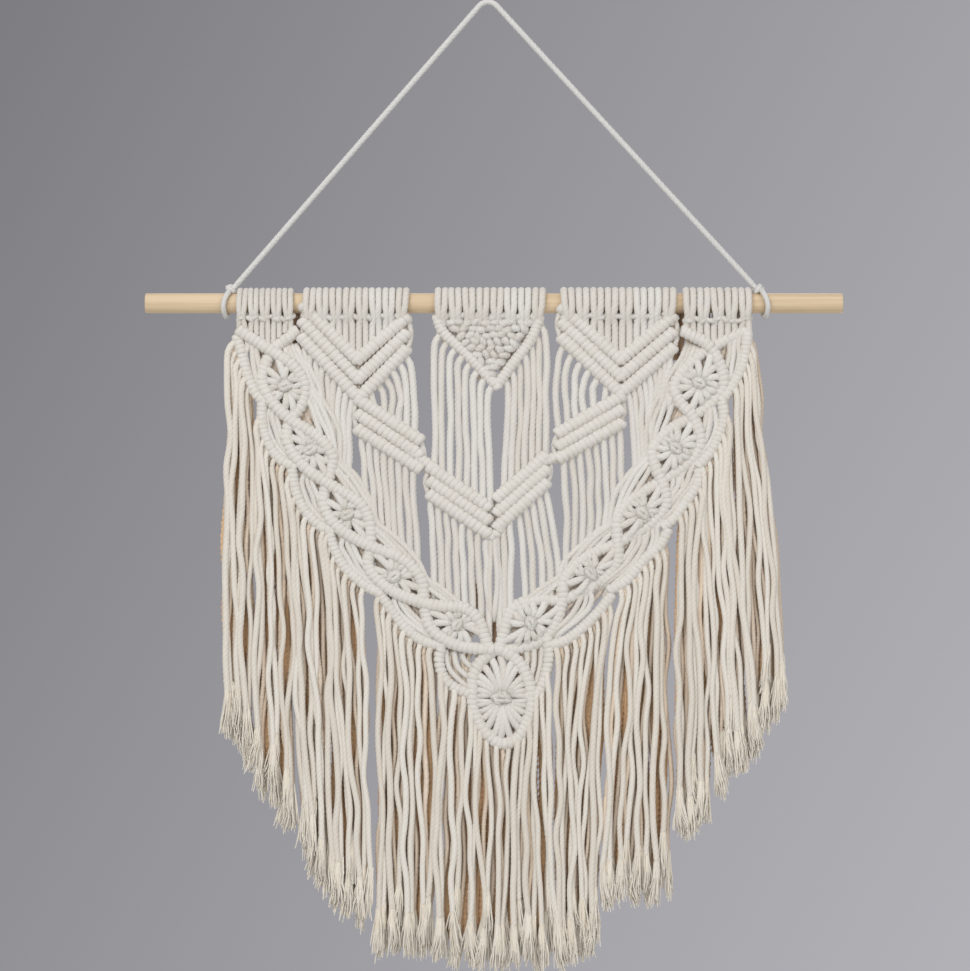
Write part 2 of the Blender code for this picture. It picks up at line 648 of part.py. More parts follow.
def main():
    for thing in list(bpy.data.objects):
        bpy.data.objects.remove(thing)
    middle = bpy.data.objects.new("dowel_middle", None)
    middle.location = (-HOOK_SHIFT * MM, 0.0, -HOOK_RISE * MM)
    bpy.context.scene.collection.objects.link(middle)

    build_dowel(make_material("pine", (0.74, 0.56, 0.36), 0.6), middle)
    build_hanging_cord(make_material("hanging_cord_cotton", (0.74, 0.71, 0.66), 0.9), middle)
    loop_cotton = make_material("cord_loop_cotton", (0.74, 0.71, 0.64), 0.9)
    build_cord_loop("cord_loop_left", -161.0, -157.6, loop_cotton, middle)
    build_cord_loop("cord_loop_right", 163.0, 158.6, loop_cotton, middle)
    build_headings(make_material("heading_cotton", (0.74, 0.71, 0.65), 0.9), middle)
    build_net(make_material("net_cotton", (0.73, 0.70, 0.64), 0.9), middle)
    fringe_cotton = make_material("fringe_cotton", (0.76, 0.70, 0.60), 0.92)
    for fringe in FRINGES:
        build_fringe(fringe, fringe_cotton, middle)
    bpy.context.view_layer.update()


main()
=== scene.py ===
import random
from math import acos, atan2, cos, pi, radians, sin

import bmesh
import bpy
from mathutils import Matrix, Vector


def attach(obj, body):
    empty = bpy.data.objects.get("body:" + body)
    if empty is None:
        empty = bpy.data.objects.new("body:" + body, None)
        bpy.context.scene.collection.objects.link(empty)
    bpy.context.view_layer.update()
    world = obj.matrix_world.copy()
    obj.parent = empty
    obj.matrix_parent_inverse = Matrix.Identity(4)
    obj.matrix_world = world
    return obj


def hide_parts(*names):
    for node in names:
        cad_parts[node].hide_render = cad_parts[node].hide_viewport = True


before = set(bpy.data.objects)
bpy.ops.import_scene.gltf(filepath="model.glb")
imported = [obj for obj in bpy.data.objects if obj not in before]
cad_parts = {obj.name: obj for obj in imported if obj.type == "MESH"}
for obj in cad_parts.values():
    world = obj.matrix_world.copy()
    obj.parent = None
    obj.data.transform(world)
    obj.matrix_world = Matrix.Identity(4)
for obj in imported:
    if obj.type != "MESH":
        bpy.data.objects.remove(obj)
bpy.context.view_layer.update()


# -------- camera
# The hanging is seen square on, from far enough away that its fringe looks straight.
# Places in this file are in millimetres from the middle of the dowel, x to the right,
# y towards the wall and z up, and the frame's origin is the nail above it.
MM = 0.001
DOWEL_MIDDLE = Vector((3.6, 0.0, -179.5)) * MM
PICTURE_HEIGHT = 582.6
PICTURE_MIDDLE = (-5.4, -4.0, -109.5)
LENS, SENSOR = 135.0, 36.0


def place(x, y, z):
    """A point measured from the dowel's middle, in the frame."""
    return DOWEL_MIDDLE + Vector((x, y, z)) * MM


def add_object(name, data):
    thing = bpy.data.objects.new(name, data)
    bpy.context.scene.collection.objects.link(thing)
    return thing


camera_data = bpy.data.cameras.new("camera")
camera_data.lens = LENS
camera_data.sensor_width = SENSOR
camera = add_object("camera", camera_data)
camera.location = place(*PICTURE_MIDDLE) - Vector((0, PICTURE_HEIGHT * MM * LENS / SENSOR, 0))
camera.rotation_euler = (radians(90), 0, 0)
bpy.context.scene.camera = camera


# -------- hanging cord
# One thin three-ply cotton cord goes from the left end of the dowel up over the nail and
# down to the right end.  The weight of the hanging pulls both legs straight.
NAIL_RISE, NAIL_SHIFT = 179.5, -3.6
NAIL_BEND = 7.0
HANGING_CORD = 3.5
HANGING_LAY = 10.0  # length of cord in which a ply goes once round
LEFT_LEG, RIGHT_LEG = (-154.5, 0.0, 11.5), (155.2, 0.0, 11.8)
CORD_CREAM, CORD_SHADE = (0.72, 0.71, 0.692), (0.56, 0.53, 0.48)
PAINTED_GAP_SHADE = (0.82, 0.56, 0.34)  # painted shade: the warm brown of strands that lie deep between the others
FIBRES, PATCHES = 1400.0, 90.0  # how fine the fibres and the uneven tone are
WALLWARD = Vector((0, 1, 0))


def give(node, inputs):
    """Sets or links the named inputs.  A node stands for its first output."""
    for name, value in inputs.items():
        if isinstance(value, bpy.types.Node):
            value = value.outputs[0]
        if isinstance(value, bpy.types.NodeSocket):
            node.id_data.links.new(value, node.inputs[name])
        else:
            node.inputs[name].default_value = value
    return node


def add(kind, *values, tree=None, **named):
    """Adds a node to a tree, or else to that of its first linked input.  Names with a
    capital are inputs, and others settings.  A kind without its prefix is the tree's own."""
    inputs = {name.replace("_", " "): named.pop(name) for name in list(named) if name[0].isupper()}
    inputs.update(enumerate(values))
    tree = tree or next(value.id_data for value in inputs.values() if hasattr(value, "id_data"))
    node = tree.nodes.new(kind if "Node" in kind else tree.bl_idname[:-len("Tree")] + kind)
    for name, value in named.items():
        setattr(node, name, value)
    return give(node, inputs)


def maths(operation, *values):
    return add("ShaderNodeMath", *values, operation=operation)


def vector_maths(operation, *vectors, **inputs):
    return add("ShaderNodeVectorMath", *vectors, operation=operation, **inputs)


def mixed(share, first, second):
    node = add("ShaderNodeMix", share, data_type="RGBA")
    return give(node, {6: first, 7: second}).outputs[2]


def chance_node(low, high, seed, **each):
    """A random number, or a random vector if the limits are vectors."""
    kind, first, out = ("FLOAT_VECTOR", 0, 0) if isinstance(low, tuple) else ("FLOAT", 2, 1)
    node = add("FunctionNodeRandomValue", Seed=seed, data_type=kind, **each)
    return give(node, {first: low, first + 1: high}).outputs[out]


def new_tree(name, kind, gives, **takes):
    """A node tree with these sockets, and those that bring its inputs in."""
    tree = bpy.data.node_groups.new(name, kind)
    for in_out, sockets in (("INPUT", takes), ("OUTPUT", gives)):
        for socket, of_kind in sockets.items():
            tree.interface.new_socket(socket, in_out=in_out, socket_type="NodeSocket" + of_kind)
    return tree, add("NodeGroupInput", tree=tree).outputs


def shape_tree(name, **takes):
    takes = {**takes, "Seed": "Int", "Material": "Material"}
    return new_tree(name, "GeometryNodeTree", {"Shape": "Geometry"}, **takes)


def even_curves(lines, step):
    curves = add("MeshToCurve", lines)
    return add("ResampleCurve", curves, Length=step, mode="LENGTH")


def marked(tree, name):
    """What is marked on the points under a name."""
    return add("InputNamedAttribute", name, tree=tree, data_type="FLOAT").outputs[0]


def mark_points(shape, name, value):
    return add("StoreNamedAttribute", shape, Name=name, Value=value, data_type="FLOAT",
               domain="POINT")


def sweep(curves, section, scale):
    return add("CurveToMesh", curves, Profile_Curve=section, Scale=scale, Fill_Caps=True)


def finish_tree(tree, shape, material):
    """Gives out the shape, made real and smooth, in its material."""
    smooth = add("SetShadeSmooth", add("RealizeInstances", shape))
    add("NodeGroupOutput", add("SetMaterial", smooth, Material=material))
    return tree


def twisted_cord_tree():
    """Sweeps a three-lobed section along each line, and turns it as the plies turn."""
    tree, given = shape_tree("twisted_cord", Lines="Geometry", Step="Float", Lay="Float",
                             Sides="Int", Groove="Float")
    even = even_curves(given["Lines"], given["Step"])
    line = add("CurveOfPoint", tree=tree).outputs["Curve Index"]
    strand = chance_node(0.0, 1.0, given["Seed"], ID=line)
    length = add("SplineParameter", tree=tree).outputs["Length"]
    turns = maths("ADD", maths("DIVIDE", length, given["Lay"]), strand)
    twisted = add("SetCurveTilt", even, Tilt=maths("MULTIPLY", turns, 2 * pi))
    circle = add("CurvePrimitiveCircle", given["Sides"], Radius=1.0)
    index = add("InputIndex", tree=tree)
    lobe = maths("MODULO", index, maths("DIVIDE", given["Sides"], 3.0))
    valley = maths("LESS_THAN", lobe, 0.5)
    inward = maths("SUBTRACT", 1.0, maths("MULTIPLY", valley, given["Groove"]))
    drawn_in = vector_maths("SCALE", add("InputPosition", tree=tree), Scale=inward)
    lobed = add("SetPosition", circle, Position=drawn_in)
    # The valleys are marked too, and the cotton paints them darker as painted shade.
    swept = sweep(mark_points(twisted, "strand", strand), mark_points(lobed, "groove", valley),
                  marked(tree, "thick"))
    return finish_tree(tree, swept, given["Material"])


def mark(mesh, name, values):
    mesh.attributes.new(name, "FLOAT", "POINT").data.foreach_set("value", values)


def as_points(name, spots, edges=(), **marks):
    """An object of points in mm, with lines between them and what is marked on them."""
    mesh = bpy.data.meshes.new(name)
    mesh.from_pydata([place(*spot) for spot in spots], edges, [])
    for title, values in marks.items():
        mark(mesh, title, values)
    return add_object(name, mesh)


def as_lines(name, routes, warm=0.0):
    """An object of lines with no faces.  Each route is (points in mm, radius or radii in mm).
    The last argument is how much painted shade the cords get for lying in the shade of others, from 0 to
    1."""
    spots, edges, radii = [], [], []
    for points, thick in routes:
        edges += [(i, i + 1) for i in range(len(spots), len(spots) + len(points) - 1)]
        spots += points
        radii += [r * MM for r in thick] if hasattr(thick, "__len__") else [thick * MM] * len(points)
    return as_points(name, spots, edges, thick=radii, warm=[warm] * len(spots))


def grow(piece, tree, **inputs):
    """Runs a geometry tree on the piece's points and keeps the mesh that it makes."""
    modifier = piece.modifiers.new("Grow", "NODES")
    modifier.node_group = tree
    for socket in tree.interface.items_tree:
        if socket.in_out == "INPUT" and socket.name in inputs:
            modifier[socket.identifier] = inputs[socket.name]
    graph = bpy.context.evaluated_depsgraph_get()
    mesh = bpy.data.meshes.new_from_object(piece.evaluated_get(graph), depsgraph=graph)
    mesh.name = piece.name
    piece.modifiers.clear()
    piece.data = mesh
    return piece


def cords(name, routes, material, step, lay, sides, groove, seed, warm=0.0):
    """A piece of twisted cords along routes, with a ring of faces every step."""
    return grow(as_lines(name, routes, warm), CORD_TREE, Step=step * MM, Lay=lay * MM,
                Sides=sides, Groove=groove, Seed=seed, Material=material)


def cotton_group():
    """Painted shade between plies and between strands, a random tone for each strand, uneven patches, and
    the fine fibres of spun cotton.
    """
    tree, given = new_tree("cotton_yarn", "ShaderNodeTree", {"Color": "Color", "Height": "Float"},
                           Cream="Color", Shade="Color", Deep="Color", Groove="Float",
                           Strand="Float", Warm="Float", Place="Vector", Streak="Float")
    fibres, patches = [add("TexNoise", given["Place"], Scale=s) for s in (FIBRES, PATCHES)]
    # Painted shade: the deeper in the groove between plies, the darker the colour.
    tone = maths("MULTIPLY", maths("POWER", given["Groove"], 2.0), 0.22)
    for mask, share in ((given["Strand"], 0.32), (patches, 0.25), (fibres, given["Streak"])):
        tone = maths("MULTIPLY_ADD", mask, share, tone)
    yarn = mixed(maths("SUBTRACT", tone, 0.28), given["Cream"], given["Shade"])
    # Painted shade: as far as a strand lies in the shade of others, its colour goes to a warm brown.
    deep = mixed(given["Warm"], yarn, given["Deep"])
    add("NodeGroupOutput", deep, fibres)
    return tree


def new_material(name):
    """A material, its node tree and its surface shader."""
    material = bpy.data.materials.new(name)
    material.use_nodes = True
    return material, material.node_tree, material.node_tree.nodes["Principled BSDF"]


def cotton(name, cream, shade, sheen, streak=0.3, stretch=1.0, deep=PAINTED_GAP_SHADE):
    """Matt spun cotton.  Reads from the mesh which strand it is, how deep between plies, painted
    darker there as shade, and how far in the shade of those in front of it, painted on its
    front as a warm brown shade.  Combed fibres are streaks, stretched down the strand."""
    material, tree, shader = new_material(name)
    where = add("TexCoord", tree=tree).outputs["Object"]
    stretched = add("Mapping", where, Scale=(1, 1, stretch))
    groove, strand, warm = [
        add("Attribute", tree=tree, attribute_name=title).outputs["Fac"]
        for title in ("groove", "strand", "warm")]
    # Only the side that faces the front, away from the wall, is given the painted shade.
    normal = add("NewGeometry", tree=tree).outputs["Normal"]
    facing = add("SeparateXYZ", normal).outputs["Y"]
    front = add("MapRange", facing, 0.4, -0.2)
    yarn = add("Group", node_tree=COTTON_YARN, Cream=(*cream, 1), Shade=(*shade, 1),
               Deep=(*deep, 1), Groove=groove, Strand=strand, Place=stretched,
               Warm=maths("MULTIPLY", warm, front), Streak=streak)
    bump = add("Bump", Height=yarn.outputs["Height"], Strength=streak, Distance=0.0002)
    give(shader, {"Base Color": yarn, "Normal": bump, "Roughness": 0.9,
                  "Specular IOR Level": 0.2, "Sheen Weight": sheen, "Sheen Roughness": 0.6})
    return material


def length_of(route):
    return sum((b - a).length for a, b in zip(route, route[1:]))


def even_route(dense, step):
    """The same route with evenly spaced points, the first and last kept."""
    lengths = [0.0]
    for a, b in zip(dense, dense[1:]):
        lengths.append(lengths[-1] + (b - a).length)
    count = max(1, round(lengths[-1] / step))
    route, seg = [], 0
    for i in range(count + 1):
        goal = lengths[-1] * i / count
        while seg < len(dense) - 2 and lengths[seg + 1] < goal:
            seg += 1
        span = lengths[seg + 1] - lengths[seg]
        share = (goal - lengths[seg]) / span if span > 0 else 0.0
        route.append(dense[seg].lerp(dense[seg + 1], min(share, 1.0)))
    return route


def flat(x, z):
    return Vector((x, 0, z))


def over_the_nail(leg_step, turns):
    """Both legs of the hanging cord and its bend over the nail."""
    left, right = Vector(LEFT_LEG), Vector(RIGHT_LEG)
    centre = flat(NAIL_SHIFT, NAIL_RISE + HANGING_CORD / 2 - NAIL_BEND)
    start, end = [atan2((leg - centre).z, (leg - centre).x)
                  - side * acos(NAIL_BEND / (leg - centre).length)
                  for leg, side in ((left, 1), (right, -1))]
    start %= 2 * pi
    angles = [start + (end - start) * k / turns for k in range(turns + 1)]
    bend = [centre + NAIL_BEND * flat(cos(a), sin(a)) for a in angles]
    return (even_route([left, bend[0]], leg_step)[:-1] + bend
            + even_route([bend[-1], right], leg_step)[1:])


COTTON_YARN = cotton_group()
CORD_TREE = twisted_cord_tree()
hanging_cotton = cotton("hanging_cord_cotton", CORD_CREAM, CORD_SHADE, 0.2, streak=0.12)
cord_route = over_the_nail(9.5, 5)
hanging_cord = cords("hanging_cord_twisted", [(cord_route, HANGING_CORD / 2 * 1.03)],
                     hanging_cotton, 1.1, HANGING_LAY, 12, 0.08, seed=1)
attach(hanging_cord, "root")
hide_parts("hanging_cord")


# -------- cord ends on the dowel
# Each end of the hanging cord goes once round the dowel and is knotted on itself above
# it, with a short cut tail.
RING_REACH = 7.9  # from the dowel's axis to the middle of the cord
KNOT_REACH = 2.3  # of the turn of the knot round the leg
TAIL = 2.6
END_RADIUS = 1.65


def tied_end(ring_x, leg, side):
    """Once round the dowel, then once and a half round the leg above it, and out as a tail."""
    points = [Vector(leg), Vector((leg[0] - side * 2.0, -0.6, leg[2] - 2.4))]
    for k in range(13):
        angle = radians(75 - 30 * k)
        shift = 1.2 * cos(angle) - 3.0 * max(0.0, sin(angle))
        points.append(Vector((ring_x - side * shift, -RING_REACH * cos(angle),
                              RING_REACH * sin(angle))))
    way = (flat(NAIL_SHIFT, NAIL_RISE) - Vector(leg)).normalized()
    across = way.cross(WALLWARD).normalized()
    for k in range(9):
        angle = radians(200 + 60 * k)
        out = across * cos(angle) - WALLWARD * sin(angle)
        points.append(Vector(leg) + way * (0.4 * k - 6.6) + out * KNOT_REACH)
    points.append(points[-1] - Vector((side * TAIL, 1.0, 1.0)))
    return points


def smooth_route(points, step):
    """Evenly spaced points, about step apart, on a smooth curve through the given ones."""
    points = [Vector(p) for p in points]
    before, after = points[0] * 2 - points[1], points[-1] * 2 - points[-2]
    if (points[0] - points[-1]).length < 1e-6:
        before, after = points[-2], points[1]
    padded = [before] + points + [after]
    dense = []
    for p0, p1, p2, p3 in zip(padded, padded[1:], padded[2:], padded[3:]):
        for t in [k / 12 for k in range(12)]:
            dense.append(0.5 * (2 * p1 + (p2 - p0) * t + (2 * p0 - 5 * p1 + 4 * p2 - p3) * t ** 2
                                + (3 * p1 - p0 - 3 * p2 + p3) * t ** 3))
    return even_route(dense + [points[-1]], step)


for name, ring_x, leg, side in (("cord_loop_left", -161.0, LEFT_LEG, 1),
                                ("cord_loop_right", 163.0, RIGHT_LEG, -1)):
    route = smooth_route(tied_end(ring_x, leg, side), 1.0)
    end = cords(name + "_tied", [(route, END_RADIUS)], hanging_cotton, 0.8, HANGING_LAY, 9, 0.08,
                seed=2)
    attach(end, "root")
    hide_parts(name)


# -------- dowel
# A turned pine dowel, sanded and left bare.  Its ends are cut square with a broken edge,
# and the grain runs along it.
DOWEL_HALF, DOWEL_RADIUS = 209.5, 6.0
DOWEL_END = ((0.0, 0.7), (0.21, 0.21), (0.7, 0.0))  # in from its end, in from its side
DOWEL_SIDES = 56
PINE_LIGHT, PINE_DARK = (0.755, 0.60, 0.405), (0.56, 0.395, 0.235)
STREAK_SCALE, PORE_SCALE = (5.0, 330.0, 330.0), (60.0, 1800.0, 1800.0)


def pine():
    """Pale early wood with thin darker rings, stretched along the dowel."""
    material, tree, shader = new_material("bare_pine")
    where = add("TexCoord", tree=tree).outputs["Object"]
    streaks, pores = [
        add("TexNoise", add("Mapping", where, Scale=scale), Scale=1.0, Detail=detail,
            Roughness=roughness)
        for scale, detail, roughness in ((STREAK_SCALE, 3.0, 0.6), (PORE_SCALE, 2.0, 0.5))]
    ramp = add("ValToRGB", streaks)
    for stop, at, colour in zip(ramp.color_ramp.elements, (0.35, 0.8), (PINE_LIGHT, PINE_DARK)):
        stop.position = at
        stop.color = (*colour, 1)
    bump = add("Bump", Height=pores, Strength=0.3, Distance=0.0001)
    give(shader, {"Base Color": ramp, "Normal": bump, "Roughness": 0.55})
    return material


def ringed_mesh(name, rings, closed):
    """A smooth mesh through rings of points.  It is closed on itself, or capped at its ends."""
    made = bmesh.new()
    rings = [[made.verts.new(spot) for spot in ring] for ring in rings]
    for a, b in zip(rings, rings[1:] + rings[:1] if closed else rings[1:]):
        for k in range(len(a)):
            m = (k + 1) % len(a)
            made.faces.new((a[k], a[m], b[m], b[k]))
    if not closed:
        made.faces.new(rings[0])
        made.faces.new(rings[-1])
    bmesh.ops.recalc_face_normals(made, faces=made.faces)
    mesh = bpy.data.meshes.new(name)
    made.to_mesh(mesh)
    made.free()
    mesh.shade_smooth()
    return mesh


stations = [(x - DOWEL_HALF, DOWEL_RADIUS - r) for x, r in DOWEL_END]
stations += [(-x, radius) for x, radius in stations[::-1]]
angles = [2 * pi * k / DOWEL_SIDES for k in range(DOWEL_SIDES)]
rings = [[place(x, radius * cos(a), radius * sin(a)) for a in angles] for x, radius in stations]
mesh = ringed_mesh("dowel_turned", rings, closed=False)
mesh.set_sharp_from_angle(angle=radians(50))
mesh.materials.append(pine())
dowel = add_object("dowel_turned", mesh)
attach(dowel, "root")
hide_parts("dowel")


# -------- mounting knots
# Each cord is folded in half and mounted on the dowel with a reversed lark's head: its two
# halves lie side by side over the front, and the fold crosses them at the back.
COTTON_CREAM, COTTON_SHADE = (0.775, 0.755, 0.72), (0.60, 0.53, 0.44)
STRAND = 2.1  # radius of the four-millimetre cord
LAY = 9.0  # length of cord in which a ply goes once round
# Name, left and right end, cords, where their feet end, and the point of the chevron below.
HEADINGS = (
    ("heading_a", -154.5, -120.2, 5, -18, (-134, -30)), ("heading_b", -114.8, -51.2, 8, -13, (-82, -34)),
    ("heading_c", -35.8, 30.8, 8, -13, (-3, -18)), ("heading_d", 40.2, 109.3, 8, -13, (76, -34)),
    ("heading_e", 113.2, 154.8, 5, -18, (131, -30)),
)
TOP_EDGE = -6.0  # height at which the outermost cords of a heading end
# How a half goes up the front: how far apart the two lie, and where, in y and z.
UP_THE_FRONT = ((0.96, -4.4, -13.0), (0.72, -5.6, -10.0), (0.62, -7.0, -7.0),
                (0.84, -7.8, -4.2), (0.98, -7.8, -1.6))
FOLD = ((-0.62, 9.4, -4.0), (-0.3, 11.2, -2.6), (0.3, 11.2, -2.6), (0.62, 9.4, -4.0))


def larks_head(x, pitch, feet, chance):
    """One cord's way: up the front, over the top, down the back, across, and the same
    again to the front.  Below the dowel its two halves draw together, then go on down to
    their feet at the first row."""
    wrap = list(UP_THE_FRONT)
    for angle in range(5, 216, 20):
        reach = 7.7 if angle < 150 else 8.1
        wrap.append((1.0, -reach * cos(radians(angle)), reach * sin(radians(angle))))
    skew = chance(-0.5, 0.5)
    halves = []
    for side, foot in zip((-1, 1), feet):
        half = [Vector((x + side * pitch / 2 * s + skew * z / 8, y, z)) for s, y, z in wrap]
        if foot < -17.0:
            half[:1] = [Vector((x + side * pitch / 2, -4.6 + chance(-0.4, 0.4), z))
                        for z in (foot, -14.5)]
        halves.append(half)
    fold = [Vector((x + pitch * s, y, z)) for s, y, z in FOLD]
    return halves[0] + fold + halves[1][::-1]


cotton_cord = cotton("net_cotton", COTTON_CREAM, COTTON_SHADE, 0.1)
for name, left, right, count, foot, (point_x, point_z) in HEADINGS:
    chance = random.Random(len(name) + int(left)).uniform
    pitch = (right - left) / count / 2
    routes = []
    for i in range(count):
        x = left + pitch * (2 * i + 1)
        feet = []
        for foot_x in (x - pitch / 2, x + pitch / 2):
            edge = left if foot_x < point_x else right
            share = (foot_x - edge) / (point_x - edge)
            feet.append(min(foot, TOP_EDGE + (point_z - TOP_EDGE) * share))
        routes.append((smooth_route(larks_head(x, pitch, feet, chance), 1.2), pitch / 2 * 1.04))
    piece = cords(name + "_knots", routes, cotton_cord, 1.5, LAY, 9, 0.07, seed=3)
    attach(piece, "root")
    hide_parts(name)


# -------- hitched bars
# A bar is a core cord with the other cords hitched round it one after another, twice each,
# so it looks like close-wound turns.  Rows of bars side by side make the chevrons.
BAR_DEPTH = -4.6
HITCH_PITCH = 0.78  # as a share of the bar's radius
CROSSING_LIFT = 1.5  # of the bar that goes over, where two bars cross
BRAID_BAR, ROW_BAR, LINK_BAR, BACKING_BAR = 3.8, 4.05, 3.3, 3.4
RING_BAR, EAR_BAR = 3.9, 3.4
TURN_SPOTS, TURN_SIDES = 10, 6  # of one turn of cord: round the bar, and round the cord
# The upper and the lower row of each band, from end to end.
BANDS = (
    (((-114, -2), (-82, -34)), ((-115, -21), (-81, -57))),
    (((-53, -9), (-82, -34)), ((-53, -28), (-81, -57))), (((41, -3), (76, -34)), ((41, -21), (76, -54))),
    (((107, -8), (76, -34)), ((107, -27), (76, -54))),
    (((-81, -58), (-45, -82)), ((-81, -76), (-45, -99))),
    (((39, -78), (76, -56)), ((39, -93), (76, -72))),
    (((-38, -99), (-4, -122)), ((-38, -115), (-4, -138))),
    (((2, -117), (31, -92)), ((2, -134), (31, -108))),
)
BRAID = (
    ((-152, -17), (-133, -29), (-120, -38), (-113, -50), (-116, -62), (-122, -70), (-124, -83),
        (-115, -97), (-100, -108), (-82, -119), (-75, -130), (-74, -146), (-75, -159), (-62, -172),
        (-42, -180), (-30, -182), (-18, -183), (-9.5, -190), (-6, -199), (-3, -208)),
    ((-119, -17), (-133, -29), (-139, -45), (-134, -58), (-122, -70), (-106, -80), (-97, -91),
        (-98, -101), (-101, -110), (-102, -122), (-93, -135), (-74, -146), (-56, -153), (-44, -165),
        (-42, -179), (-39, -193), (-31, -201), (-19, -206), (-2, -208)),
    ((150, -17), (130, -27), (118, -36), (108, -49), (112, -60), (119, -68), (124, -84), (115, -97),
        (100, -107), (81, -119), (74, -130), (74, -144), (73, -157), (58, -170), (41, -178), (28, -178),
        (15, -181), (9, -187), (6, -197), (3, -208)),
    ((114, -17), (130, -27), (138, -47), (131, -59), (119, -68), (104, -77), (95, -88), (97, -99),
        (101, -108), (103, -121), (93, -133), (74, -144), (54, -153), (42, -166), (41, -178), (36, -194),
        (27, -203), (15, -207), (1, -208)),
)
LINKS = (
    ((-34, -9), (-30, -18), (-16, -31), (2, -50)), ((27, -9), (22, -22), (13, -34), (2, -49)),
    ((-50, -89), (-36, -99)), ((40, -91), (28, -96)), ((-8, -135), (-1, -140), (6, -131)),
)
MEDALLION = (
    ((1, -208), (-7, -214), (-12, -223), (-13, -234), (-12, -244), (-7, -255), (1, -263), (8, -264),
        (15, -260), (20, -250), (22.5, -240), (21, -228), (16, -217), (8, -210), (1, -208)),
    ((-31, -205), (-33, -214), (-30, -225), (-23, -231), (-13, -235)),
    ((32, -202), (33, -213), (30, -226), (27, -233), (20, -236)),
)


def hitch_loop():
    """One turn of cord round a bar of outer radius 1: thick across, and wider along."""
    rings = []
    for turn in [2 * pi * i / TURN_SPOTS for i in range(TURN_SPOTS)]:
        out = Vector((cos(turn), sin(turn), 0))
        rings.append([out * (0.72 + 0.34 * cos(angle)) + flat(0, 0.62 * sin(angle))
                      for angle in [2 * pi * (k + 0.5) / TURN_SIDES for k in range(TURN_SIDES)]])
    mesh = ringed_mesh("hitch_loop", rings, closed=True)
    # The sides of each turn, where it meets the next, are marked to be painted darker as painted shade.
    mark(mesh, "groove", [0.6 if abs(v.co.z) > 0.5 else 0.0 for v in mesh.vertices])
    return bpy.data.objects.new("hitch_loop", mesh)


def hitched_bar_tree():
    """Sets turns of cord along each line, in pairs, each a little askew."""
    tree, given = shape_tree("hitched_bar", Lines="Geometry", Pitch="Float", Turn="Object")
    even = even_curves(given["Lines"], given["Pitch"])
    along = add("InputTangent", tree=tree)
    rotation = add("FunctionNodeAlignRotationToVector", Vector=along, axis="Z",
                   pivot_axis="AUTO")
    askew = chance_node((-0.14, -0.14, 0.0), (0.14, 0.14, 0.6), given["Seed"])
    lean = add("ShaderNodeCombineXYZ", Y=marked(tree, "slant"))
    for by, space in ((askew, "LOCAL"), (lean, "GLOBAL")):
        rotation = add("FunctionNodeRotateRotation", rotation, by, rotation_space=space)
    swell = chance_node(0.96, 1.04, given["Seed"])
    turn = add("ObjectInfo", given["Turn"]).outputs["Geometry"]
    shade = chance_node(0.5, 0.95, given["Seed"])
    turns = add("InstanceOnPoints", mark_points(even, "strand", shade), Instance=turn,
                Rotation=rotation, Scale=maths("MULTIPLY", marked(tree, "thick"), swell))
    return finish_tree(tree, turns, given["Material"])


def at_depth(points, depth):
    """Lifts flat (x, z) points to the given depth."""
    return [(x, depth, z) for x, z in points]


def join(name, parts):
    """One piece of several meshes, each with its own material."""
    with bpy.context.temp_override(active_object=parts[0], object=parts[0], selected_objects=parts,
                                   selected_editable_objects=parts):
        bpy.ops.object.join()
    parts[0].name = parts[0].data.name = name
    return parts[0]


def bar_route(bar, crossing):
    """The bar's smooth way.  Where bars cross, it is lifted to the front as far as it goes
    to the right, and lies behind as far as it goes back."""
    level = smooth_route(at_depth(bar, BAR_DEPTH), 1.0)
    route = []
    for i, point in enumerate(level):
        run = level[min(i + 3, len(level) - 1)] - level[max(i - 3, 0)]
        lift = CROSSING_LIFT * crossing * run.x / max(run.length, 1e-6)
        route.append(point - WALLWARD * lift)
    return route


def hitched(name, bars, radii, seed, crossing=0, lean=0.28):
    """Bars of hitches, each with its core cord showing at the ends."""
    routes = [(bar_route(bar, crossing), radius) for bar, radius in zip(bars, radii)]
    turns = as_lines(name + "_turns", routes)
    slants = []
    for points, radius in routes:
        rising = (points[-1].x - points[0].x) * (points[-1].z - points[0].z) > 0
        slants += [-lean if rising else lean] * len(points)
    mark(turns.data, "slant", slants)
    grow(turns, HITCH_TREE, Pitch=HITCH_PITCH * radii[0] * MM, Turn=HITCH_LOOP, Seed=seed,
         Material=cotton_cord)
    core = cords(name + "_cores", [(route, STRAND) for route, radius in routes], cotton_cord,
                 3.0, LAY, 6, 0.1, seed)
    return join(name, (turns, core))


def between(first, last, share):
    return tuple(a + (b - a) * share for a, b in zip(first, last))


def shares(count):
    return [i / (count - 1) for i in range(count)]


HITCH_LOOP = hitch_loop()
HITCH_TREE = hitched_bar_tree()
net_pieces = []
for i, (top_row, bottom_row) in enumerate(BANDS):
    rows = [[between(a, b, share) for a, b in zip(top_row, bottom_row)]
            for share in shares(3)]
    net_pieces.append(hitched(f"band_{i + 1}", rows, [ROW_BAR] * 3, 11 + i))
net_pieces.append(hitched("braid_left_bars", BRAID[:2], [BRAID_BAR] * 2, 21, crossing=1))
net_pieces.append(hitched("braid_right_bars", BRAID[2:], [BRAID_BAR] * 2, 22, crossing=1))
net_pieces.append(hitched("panel_and_links", LINKS, [LINK_BAR] * len(LINKS), 23))
net_pieces.append(hitched("medallion_bars", MEDALLION, (RING_BAR, EAR_BAR, EAR_BAR), 24))


# -------- free strands of the net
# Between the bars the cords hang free, side by side, and bow a little.  They come out of
# the hitches of one bar, pass behind it and go into those of the next.
NET_DEPTH, STRUT_DEPTH, BEHIND_DEPTH = -3.4, -4.6, -1.4
NET_STRAND = 2.35
STRUT_PITCH = 3.6
UNDER_BAR = 7.0  # how far a strand goes on behind a bar
LONG_STRAND = 18.0  # from which length a strand bows
BAND_PITCH = 3.9  # of the cords that cross behind the rows of a band
